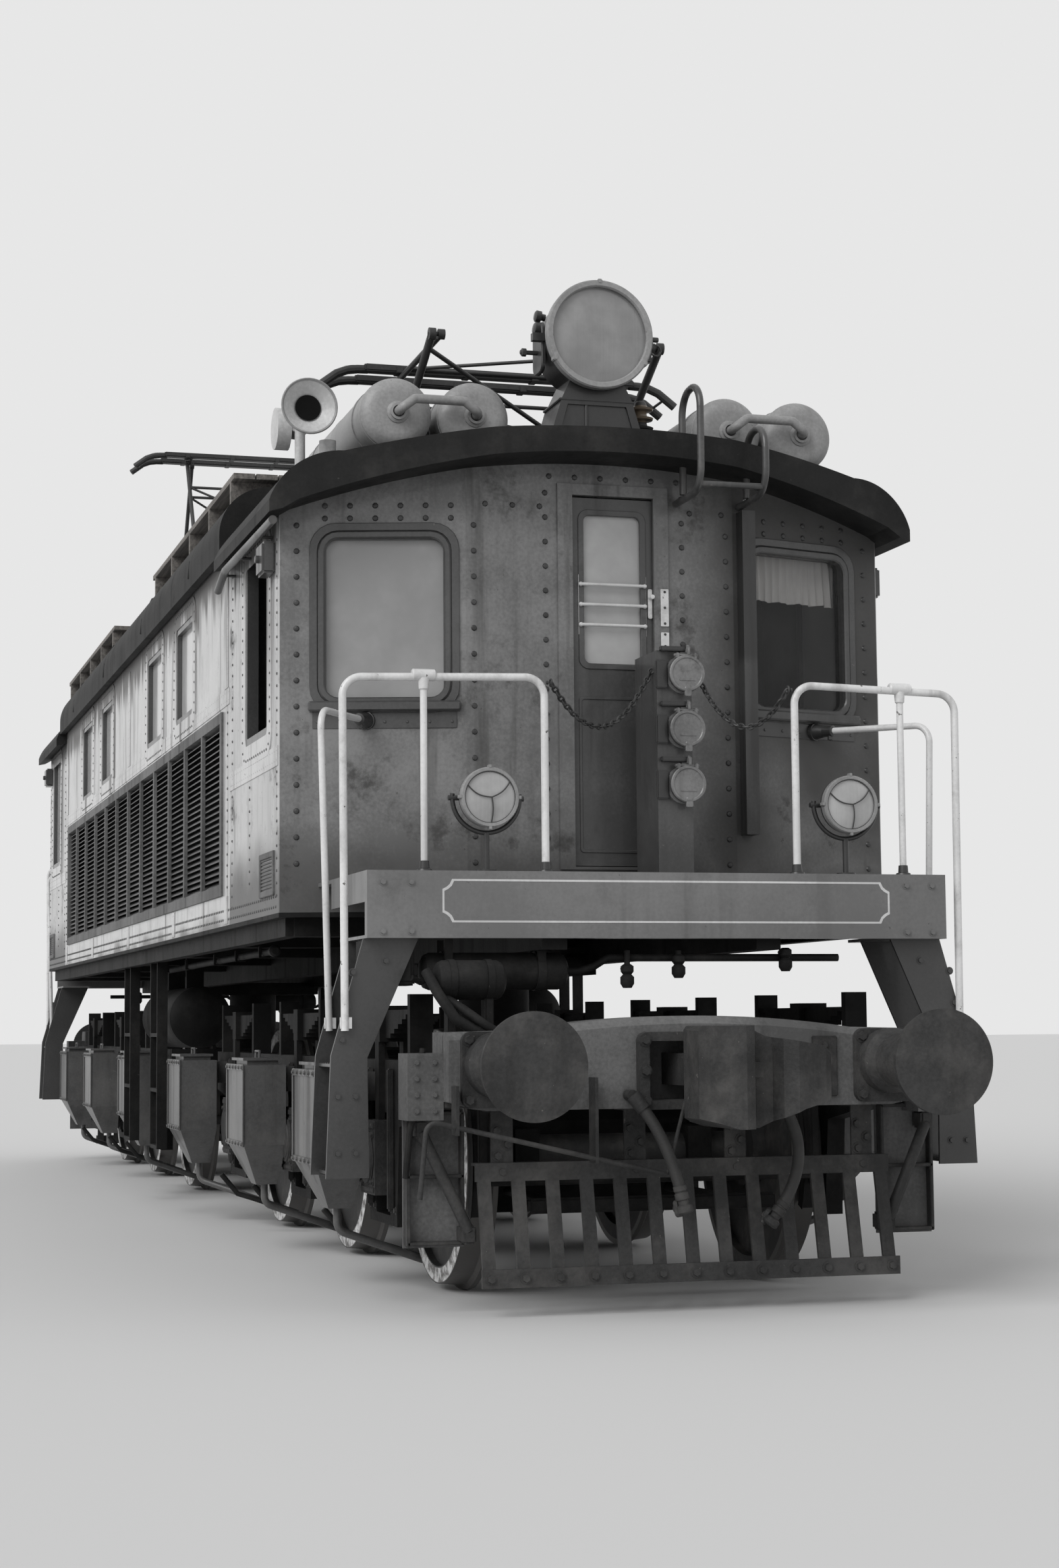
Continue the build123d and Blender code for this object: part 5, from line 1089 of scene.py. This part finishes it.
def socket_lids():
    trim, dark = Solid(), Solid()
    x, y = 6.661, 0.272
    lid = [(0, 0.0895), (0.004, 0.0895), (0.009, 0.085), (0.009, 0.076), (0.005, 0.072), (0.005, 0)]
    for z in SOCKET_Z:
        trim.turned((x - 0.001, y, z), AHEAD, lid, 32)
        # lifting tab below, two lugs and the hinge eye above
        tab = look_along((x - 0.004, y + 0.004, z - 0.088), AHEAD)
        trim.plate(tab, rounded(0.034, 0.05, 0.008), 0.012, 0.003)
        trim.box(x + 0.003, x + 0.007, y - 0.04, y + 0.04, z - 0.036, z - 0.03, 0.001)
        for side in SIDES:
            middle = y + side * 0.045
            trim.box(x - 0.03, x + 0.004, middle - 0.009, middle + 0.009, z + 0.072, z + 0.1, 0.004)
        trim.rod((x - 0.015, y - 0.06, z + 0.09), (x - 0.015, y + 0.06, z + 0.09), 0.007)
        eye = ((-0.03, 0.1), (-0.01, 0.135), (0.004, 0.125), (0.002, 0.095))
        trim.pipe([(x + dx, y + 0.01, z + dz) for dx, dz in eye], 0.0075)
        # flange behind the barrel
        trim.turned((6.6, y, z), AHEAD, [(0, 0.094), (0.008, 0.092), (0.01, 0.078)], 28, False)
        dark.box(6.6, 6.635, 0.15, 0.29, z + 0.112, z + 0.135, 0.004)
        dark.box(6.6, 6.62, 0.128, 0.19, z - 0.07, z + 0.07, 0.006)
    on_body("socket_lids", trim, FRONT, "front_paint")
    on_body("socket_brackets", dark, LAMP, "lamp_paint")
    lines = [(AHEAD, [(6.235, 0.745, 3.9), (6.235, 0.745, 2.25)])]
    row(RIVETS, "trunk_screws", lines, STEEL, "wheel_steel", Pitch=0.125, Radius=0.009)


# ---------------------------------------------------------------- beam, stripe and plates

def beam_stripe():
    # painted outline with notched corners round the bare number field
    half, low, high, notch, wide = 1.085, 1.72, 1.915, 0.045, 0.009

    def outline(grow):
        w, h = half + grow, (high - low) / 2 + grow
        loop = []
        for sx, sy in ((1, -1), (1, 1), (-1, 1), (-1, -1)):
            corner = [(sx * (w - notch * u), sy * (h - notch * v))
                      for u, v in ((1, 0), (0.75, 0.5), (0.4, 0.8), (0, 1))]
            loop += corner if sx * sy < 0 else corner[::-1]
        return loop
    stripe = Solid()
    place = look_along((7.0945, 0.028, (low + high) / 2), AHEAD)
    stripe.plate(place, outline(0), 0.0016, 0, outline(-wide))
    on_body("beam_stripe", stripe, STRIPE, "rail_white")


BEAM_X, LADDER_X = 7.095, 7.014


def platform_bolts():
    points = [(BEAM_X, y, z) for y in (-1.33, -1.2, 1.2, 1.33) for z in (1.68, 1.9)]
    ladder = ((1.45, 1.5), (1.47, 1.35), (1.5, 1.2), (1.44, 0.95), (1.52, 0.95), (1.44, 0.7),
              (1.52, 0.7), (1.3, 1.55))
    points += [(LADDER_X, side * y, z) for side in SIDES for y, z in ladder]
    bolts("platform_bolts", dots(points), BEAM, "front_paint", 0.014, 0.012)
    tread = Solid()
    for side in SIDES:
        for z in (0.614, 1.094):
            for i in range(7):
                x = 6.68 + i * 0.05
                tread.box(x, x + 0.012, side * 1.4, side * 1.53, z, z + 0.004, 0.001)
    on_body("tread_ribs", tread, BEAM, "front_paint")


# ---------------------------------------------------------------- lamps

def headlight():
    x, z = 6.2, 4.72
    rim = Solid()
    bezel = [(0, 0.262), (0, 0.277), (0.045, 0.279), (0.053, 0.272), (0.053, 0.25), (0.044, 0.244),
             (0.03, 0.244)]
    rim.turned((x - 0.05, 0, z), AHEAD, bezel, 64, False)
    for angle in (90, 210, 330):
        u, v = 0.272 * cos(radians(angle)), z + 0.272 * sin(radians(angle))
        rim.box(x - 0.045, x + 0.006, u - 0.012, u + 0.012, v - 0.012, v + 0.012, 0.004)
    on_body("headlight_rim", rim, TANK, "lamp_paint")

    lens = Solid()
    bulge = lens_shape(0.2455, 0.004, 0.022, (0.24, 0.2, 0.15, 0.1, 0.05))
    lens.turned((x - 0.03, 0, z), AHEAD, bulge, 64)
    on_body("headlight_glass", lens, LENS, "window_glass")

    fit = Solid()
    # knobs and a pivot plate on the near side, wing nut and ring on the far side
    near = (0, -1, 0)
    for px, py, pz, r in ((6.0, -0.262, 4.84, 0.03), (6.02, -0.275, 4.77, 0.034)):
        knob = [(0, r * 0.6), (0.02, r * 0.6), (0.024, r), (0.05, r), (0.056, r * 0.7), (0.058, 0)]
        fit.turned((px, py + 0.03, pz), (0, -1, 0.15), knob, 18)
    fit.plate(look_along((5.98, -0.25, 4.68), near), rounded(0.17, 0.26, 0.05), 0.02, 0.006)
    fit.rod((5.98, -0.26, 4.66), (5.98, -0.36, 4.66), 0.012)
    fit.turned((5.98, -0.33, 4.66), near, [(0, 0.022), (0.02, 0.022), (0.026, 0.012), (0.026, 0)], 8)
    fit.box(6.05, 6.09, 0.25, 0.31, 4.62, 4.76, 0.008)
    fit.rod((6.07, 0.27, 4.745), (6.07, 0.35, 4.745), 0.014)
    fit.pipe(arc((6.07, 0.335, 4.69), 0.028, 340, 16), 0.005, 8, True)
    # lid handle bolt over the stand
    fit.rod((6.1, -0.08, 4.4), (6.1, -0.02, 4.5), 0.012)
    fit.box(5.83, 6.135, -0.2, 0.2, 4.388, 4.4, 0.004)
    fit.rod((6.12, -0.055, 4.2), (6.12, -0.055, 4.37), 0.01)
    on_body("headlight_fittings", fit, LAMP, "lamp_paint")

    stack, profile = Solid(), [(0, 0.03)]
    for i in range(4):
        h = 0.045 + i * 0.05
        profile += [(h, 0.03), (h + 0.004, 0.062), (h + 0.014, 0.066), (h + 0.024, 0.036)]
    stack.turned((5.95, 0.29, 4.2), UP, profile + [(0.24, 0.03), (0.25, 0.02), (0.25, 0)], 24)
    on_body("lead_insulators", stack, BASE, "panto_steel")


def marker_lamps():
    rims, glass, guards = Solid(), Solid(), Solid()
    bezel = [(0, 0.128), (0, 0.1365), (0.036, 0.1375), (0.043, 0.133), (0.043, 0.121), (0.036, 0.117),
             (0.028, 0.117)]
    bulge = lens_shape(0.118, 0.003, 0.016, (0.115, 0.09, 0.06, 0.03))
    x = 7.05
    for y, z in ((-0.819, 2.292), (0.948, 2.286)):
        rims.turned((x - 0.04, y, z), AHEAD, bezel, 48, False)
        for angle in (90, 180, 270, 0):
            u, v = y + 0.14 * cos(radians(angle)), z + 0.14 * sin(radians(angle))
            rims.box(x - 0.03, x + 0.004, u - 0.007, u + 0.007, v - 0.008, v + 0.008, 0.002)
        glass.turned((x - 0.0125, y, z), AHEAD, bulge, 48)
        centre = Vector((x + 0.014, y + 0.004, z - 0.002))
        for angle, bow in ((152, 0.018), (38, -0.012), (272, 0.006)):
            a = radians(angle)
            reach = Vector((x - 0.004, y + 0.122 * cos(a), z + 0.122 * sin(a))) - centre
            side = Vector((0, -sin(a), cos(a))) * bow
            points = []
            for t in [i / 10 for i in range(11)]:
                out = AHEAD * 0.012 * sin(pi * t * 0.5) * (1 - t)
                points.append(centre + reach * t + side * sin(pi * t) + out)
            guards.pipe(points, 0.003, 8)
        guards.pipe(arc((x - 0.004, y, z), 0.1185, 352.5, 47), 0.003, 6, True)
    on_body("marker_rims", rims, TANK, "lamp_paint")
    on_body("marker_glass", glass, MARKER_LENS, "window_glass")
    on_body("marker_guards", guards, LAMP, "lamp_paint")


# ---------------------------------------------------------------- running gear details

BUFFER_Y, BUFFER_Z = 0.915, 1.088


def buffer_and_beam_bolts():
    points = [(7.485, side * BUFFER_Y + dy, BUFFER_Z + dz) for side in SIDES for dy in (-0.125, 0.125)
              for dz in (-0.15, 0.11)]
    points += [(7.505, y, z) for y in (-0.245, 0.245) for z in (0.92, 1.055, 1.19)]
    end_bolts("flange_bolts", dots(points), CAST, "cast_gear", 0.022, 0.02)
    points = [(7.318, y + dy, z) for y in (-0.85, -0.237, 0.237, 0.85)
              for dy, z in ((-0.025, 0.8), (0.025, 0.74), (-0.02, 0.69), (0.0, 0.62))]
    points += [(7.44, -0.935 + i * 0.15583, 0.17) for i in range(13)]
    end_bolts("cowcatcher_bolts", dots(points), CAST, "cast_gear", 0.019, 0.016)
    points = [(7.35, side * y, z) for side in SIDES for y in (1.16, 1.24) for z in (0.89, 0.96, 1.03, 1.1)]
    end_bolts("headstock_bolts", dots(points), GEAR, "running_gear", 0.012, 0.01)


def axle_box_trim():
    trim, lines = Solid(), []
    cover = [(0, 0.128), (0.006, 0.13), (0.012, 0.105), (0.022, 0.1), (0.03, 0.06), (0.032, 0)]
    for x in AXLES:
        for side in SIDES:
            out = (0, side, 0)
            trim.turned((x, side * 1.194, AXLE_Z), out, cover, 32)
            for low, high in ((0.475, 0.5), (0.775, 0.805)):
                trim.box(x - 0.14, x + 0.14, side * 1.19, side * 1.202, low, high, 0.004)
            corners = [(dx, dz) for dx in (-0.112, 0.112) for dz in (-0.112, 0.112)]
            lines += dots([(x + dx, side * 1.198, AXLE_Z + dz) for dx, dz in corners], out)
            # ribs of the pedestals
            for dx in (-0.22, 0.22):
                trim.box(x + dx - 0.018, x + dx + 0.018, side * 1.119, side * 1.15, 0.4, 1.06, 0.006)
            lines += dots([(x + dx, side * 1.12, 0.4) for dx in (-0.27, -0.17, 0.17, 0.27)], out)
    on_ends("axle_box_trim", trim, CAST, "cast_gear")
    end_bolts("axle_box_bolts", lines, CAST, "cast_gear", 0.014, 0.012)


def sandbox_trim():
    trim, lines = Solid(), []
    for x in (5.87, 3.83, 1.38):
        for side in SIDES:
            out = side * 1.45
            y0, y1 = out - side * 0.001, out + side * 0.008
            for low, high in ((1.02, 1.055), (0.6, 0.63)):
                trim.box(x - 0.285, x + 0.285, y0, y1, low, high, 0.003)
            for dx in (-0.275, 0.275):
                trim.box(x + dx - 0.012, x + dx + 0.012, y0, y1, 0.62, 1.03, 0.003)
            points = [(x - 0.25 + i * 0.1, y1, z) for i in range(6) for z in (1.037, 0.615)]
            lines += dots(points, (0, side, 0))
            # lid handle
            hoop = ((-0.03, 1.088), (-0.03, 1.125), (0.09, 1.125), (0.09, 1.088))
            trim.pipe([(x + dx, side * 1.33, z) for dx, z in hoop], 0.008)
    on_ends("sandbox_trim", trim, SAND, "sandbox_paint")
    end_bolts("sandbox_bolts", lines, SAND, "sandbox_paint", 0.01, 0.008)


# ---------------------------------------------------------------- roof

TANK_Y, TANK_Z = (-1.03, -0.635, 1.1, 0.71), 4.278


def tank_bands():
    bands = Solid()
    edging = [(0, 0.179), (0.002, 0.1825), (0.006, 0.1825), (0.008, 0.179)]
    valve = [(0, 0.06), (0.028, 0.055), (0.034, 0.042), (0.048, 0.042), (0.05, 0.03)]
    for y in TANK_Y:
        for x in (4.81, 5.87):
            bands.strap((x - 0.02, y, TANK_Z), AHEAD, 0.179, 0.185, 0.04, 40)
        for x in (4.61, 5.34, 6.06):
            bands.turned((x - 0.004, y, TANK_Z), AHEAD, edging, 40, False)
        bands.turned((6.1, y, TANK_Z), AHEAD, valve, 20, False)
    on_body("tank_bands", bands, TANK, "tank_paint")


def roof_seams():
    # along the main roof's outline from one eave to the other
    eave = [(-1.65, 3.9), (-1.64, 4.0), (-1.575, 4.14), (-1.4, 4.225)]
    crown = [-1.4 + i * 0.14 for i in range(1, 20)]
    line = eave + [(y, 4.33 - 0.105 * (y / 1.4) ** 2) for y in crown] + [(-y, z) for y, z in eave[::-1]]
    seams = Solid()
    for x in (-3.3, -1.1, 1.1, 3.3):
        seams.pipe([(x, y, z + 0.001) for y, z in line], 0.008, 6)
    on_body("roof_seams", seams, ROOF, "roof_paint", False)


def horn_trim():
    y, z = -1.47, 4.285
    trim, dark = Solid(), Solid()
    bead = [(0, 0.128), (-0.004, 0.137), (0.004, 0.141), (0.01, 0.136), (0.004, 0.128)]
    trim.turned((6.108, y, z), AHEAD, bead, 40, False)
    on_body("horn_bead", trim, TANK, "tank_paint")
    round_it = [2 * pi * i / 10 for i in range(10)]
    points = [(5.76 + 0.092 * cos(a), y - 0.04, z - 0.04 + 0.092 * sin(a)) for a in round_it]
    bolts("horn_bolts", dots(points, (0, -1, 0)), TANK, "tank_paint", 0.008, 0.008)
    # painted shade: a black disc set in the horn's mouth stands for the shade deep in its throat
    dark.turned((6.06, y, z), AHEAD, [(0, 0.0), (0, 0.058), (0.012, 0.064), (0.012, 0.0)], 32)
    on_body("horn_throat_shade", dark, THROAT_SHADE, "lamp_paint")


def collector_strips():
    # carbon strips and their bent horns, over the bars of each collector
    horn = ((0.78, 0.043), (0.84, 0.041), (0.9, 0.032), (0.96, 0.008), (1.01, -0.03), (1.06, -0.068))
    for end, middle, z in (("front", 4.15, 4.93), ("rear", -4.15, 6.25)):
        strip = Solid()
        for x in (middle - 0.13, middle + 0.13):
            strip.block(x, 0.042, 0, 0.8, z + 0.028, z + 0.0695, 0.008)
            for side in SIDES:
                strip.pipe([(x, side * y, z + h) for y, h in horn], 0.025)
            for y in (-0.6, -0.2, 0.2, 0.6):
                strip.block(x, 0.048, y, 0.02, z + 0.024, z + 0.06, 0.003)
        for y in (-0.56, 0.56):
            strip.rod((middle - 0.15, y, z + 0.04), (middle + 0.15, y, z + 0.04), 0.018)
        add_piece(f"collector_strips_{end}", strip.to_mesh("strip"), BAR, "panto_steel", f"{end}_head")


TYRE_Y = 0.812


def brake_rigging():
    # shoes on both treads of every wheel, hangers and the beams between them
    gear = Solid()
    for x in AXLES:
        for way in SIDES:
            for side in SIDES:
                outline = []
                for radius, turns in ((0.632, range(-22, 23, 4)), (0.675, range(22, -23, -4))):
                    outline += [(way * radius * cos(radians(a)), radius * sin(radians(a))) for a in turns]
                rows = ((1, 0, 0, x), (0, 0, -1, side * TYRE_Y + 0.0425), (0, 1, 0, AXLE_Z), (0, 0, 0, 1))
                gear.plate(Matrix(rows), outline, 0.085, 0.006)
                u, y = x + way * 0.66, side * TYRE_Y
                gear.box(u, x + way * 0.71, y - 0.02, y + 0.02, 0.5, 1.0, 0.006)
            gear.rod((x + way * 0.7, -0.84, 0.56), (x + way * 0.7, 0.84, 0.56), 0.032)
            gear.box(x + way * 0.68, x + way * 0.73, -0.6, 0.6, 0.4, 0.47, 0.012)
        for y in (0.42, -0.42):
            gear.rod((x - 0.7, y, 0.44), (x + 0.7, y, 0.44), 0.022)
    # sand pipes towards the treads
    bends = ((0, 1.3, 0.36), (0, 1.2, 0.24), (0.06, 0.95, 0.16), (0.1, 0.84, 0.12))
    for x in (5.6, 3.55, 2.4):
        for side in SIDES:
            gear.pipe([(x + dx, side * y, z) for dx, y, z in bends], 0.016)
    on_ends("brake_rigging", gear, DARK, "running_gear")


def headstock_trim():
    # ribs and struts on the guard plates, the small reservoir on its saddle and its pipes
    trim, points = Solid(), []
    x = 7.162
    for side in SIDES:
        for y in (1.0, 1.245):
            trim.box(x, x + 0.05, side * y - 0.008, side * y + 0.008, 0.3, 0.88, 0.003)
        for z in (0.31, 0.6, 0.875):
            trim.box(x, x + 0.05, side * 0.995, side * 1.25, z - 0.008, z + 0.008, 0.003)
        trim.rod((x + 0.09, side * 1.2, 0.8), (x + 0.12, side * 0.99, 0.36), 0.026)
        trim.box(x, x + 0.11, side * 1.17, side * 1.23, 0.77, 0.85, 0.01)
        trim.box(x, x + 0.14, side * 0.96, side * 1.02, 0.31, 0.39, 0.01)
        trim.box(7.33, 7.345, side * 1.0, side * 1.12, 0.9, 1.22, 0.006)
        points += [(7.345, side * y, z) for y in (1.03, 1.09) for z in (0.94, 1.02, 1.1, 1.18)]
    # pads beside the coupler's pocket
    for y in (-0.62, 0.62):
        trim.box(7.449, 7.462, y - 0.06, y + 0.06, 0.93, 1.2, 0.006)
        points += [(7.462, y, z) for z in (0.97, 1.16)]
    drum = Solid()
    y0, y1, z, along = -1.13, -0.8, 1.46, (0, 1, 0)
    shell = [(0, 0), (0.004, 0.05), (0.02, 0.078), (0.04, 0.088), (0.29, 0.088), (0.31, 0.078),
             (0.326, 0.05), (0.33, 0)]
    drum.turned((7.2, y0, z), along, shell, 32)
    for y in (y0 + 0.08, y1 - 0.08):
        drum.strap((7.2, y - 0.015, z), along, 0.088, 0.093, 0.03)
        drum.block(7.2, 0.04, y, 0.02, 1.2, 1.4, 0.006)
    for bends, radius, steps in (
        (((7.24, -1.17, 1.5), (7.3, -1.13, 1.4), (7.33, -1.06, 1.29), (7.34, -0.98, 1.24),
          (7.34, -0.9, 1.22)), 0.024, 12),
        (((7.24, -1.08, 1.38), (7.32, -1.02, 1.33), (7.36, -0.93, 1.26), (7.36, -0.86, 1.22)), 0.02, 12),
        (((7.3, -1.2, 1.16), (7.33, -1.22, 1.0), (7.3, -1.26, 0.8), (7.26, -1.27, 0.6)), 0.014, 10),
    ):
        drum.pipe(bends, radius, steps)
    on_ends("reservoir", drum, DARK, "running_gear")
    on_ends("headstock_trim", trim, CAST, "cast_gear")
    end_bolts("headstock_trim_bolts", dots(points), CAST, "cast_gear", 0.014, 0.012)


def sill_pipes():
    pipes = Solid()
    y = -1.35
    pipes.pipe([(0.2, y, 1.655), (2.4, y, 1.665), (4.42, y, 1.67)], 0.02, 12)
    union = [(0, 0.026), (0.05, 0.026), (0.06, 0.032), (0.1, 0.032), (0.11, 0.02), (0.11, 0)]
    pipes.turned((4.42, y, 1.67), AHEAD, union, 16)
    for x in (0.5, 1.4, 2.6, 3.4, 4.2):
        pipes.box(x - 0.012, x + 0.012, -1.385, -1.37, 1.64, 1.705, 0.003)
        pipes.box(x - 0.012, x + 0.012, -1.385, -1.32, 1.64, 1.648, 0.003)
    pipes.pipe([(0.2, y, 1.655), (0.14, y, 1.64), (0.1, y, 1.6), (0.1, y, 1.5)], 0.02, 12)
    on_body("sill_pipes", pipes, GEAR, "running_gear")


def platform_gear():
    # air reservoir, cock box, pipes and hanging cocks under each platform, above the bogie's reach
    gear = Solid()
    x, z, along = 6.9, 1.505, (0, 1, 0)
    shell = [(0, 0), (0.006, 0.05), (0.02, 0.075), (0.045, 0.085), (0.655, 0.085), (0.68, 0.075),
             (0.694, 0.05), (0.7, 0)]
    gear.turned((x, -1.12, z), along, shell, 32)
    for y, top in ((-1.0, 1.649), (-0.56, 1.599)):
        gear.strap((x, y - 0.02, z), along, 0.085, 0.091, 0.04)
        for dx in (-0.07, 0.07):
            gear.block(x + dx, 0.008, y, 0.02, z + 0.03, top)
    gear.box(6.84, 6.99, -1.4, -1.16, 1.44, 1.649, 0.008)
    gear.box(6.99, 7.0, -1.38, -1.18, 1.46, 1.61, 0.004)
    bends = ((0, -0.44, 0), (0, -0.36, 0), (0.03, -0.3, 0.02), (0.06, -0.24, 0.06), (0.06, 0.3, 0.06),
             (0.06, 0.9, 0.06))
    gear.pipe([(x + dx, y, z + dz) for dx, y, dz in bends], 0.018, 12)
    bends = ((0, -1.08, -0.03), (0.07, -1.13, -0.05), (0.1, -1.18, -0.03))
    gear.pipe([(x + dx, y, z + dz) for dx, y, dz in bends], 0.014)
    cock = [(0, 0), (0, 0.02), (0.02, 0.032), (0.05, 0.032), (0.062, 0.02), (0.075, 0.03), (0.1, 0.03),
            (0.11, 0.016), (0.11, 0)]
    for y, low in ((-0.16, 1.425), (0.09, 1.47), (0.62, 1.5)):
        gear.rod((7.0, y, low + 0.02), (7.0, y, 1.599), 0.014)
        gear.turned((7.0, y, low), UP, cock, 20)
        gear.rod((6.985, y, low + 0.09), (6.93, y, low + 0.09), 0.012, 10)
    on_body("platform_gear", gear, DARK, "running_gear")


for end, turn in ENDS:
    for side in HOSES:
        brake_hose(f"{side}_hose_{end}", side, turn, f"bogie_{end}", f"brake_hoses_{end}")
wall_rivets()
side_trim()
front_windows()
curtains()
cab_doors()
handrail_fittings()
chains()
socket_lids()
beam_stripe()
platform_bolts()
headlight()
marker_lamps()
buffer_and_beam_bolts()
axle_box_trim()
sandbox_trim()
tank_bands()
roof_seams()
horn_trim()
collector_strips()
brake_rigging()
headstock_trim()
sill_pipes()
platform_gear()
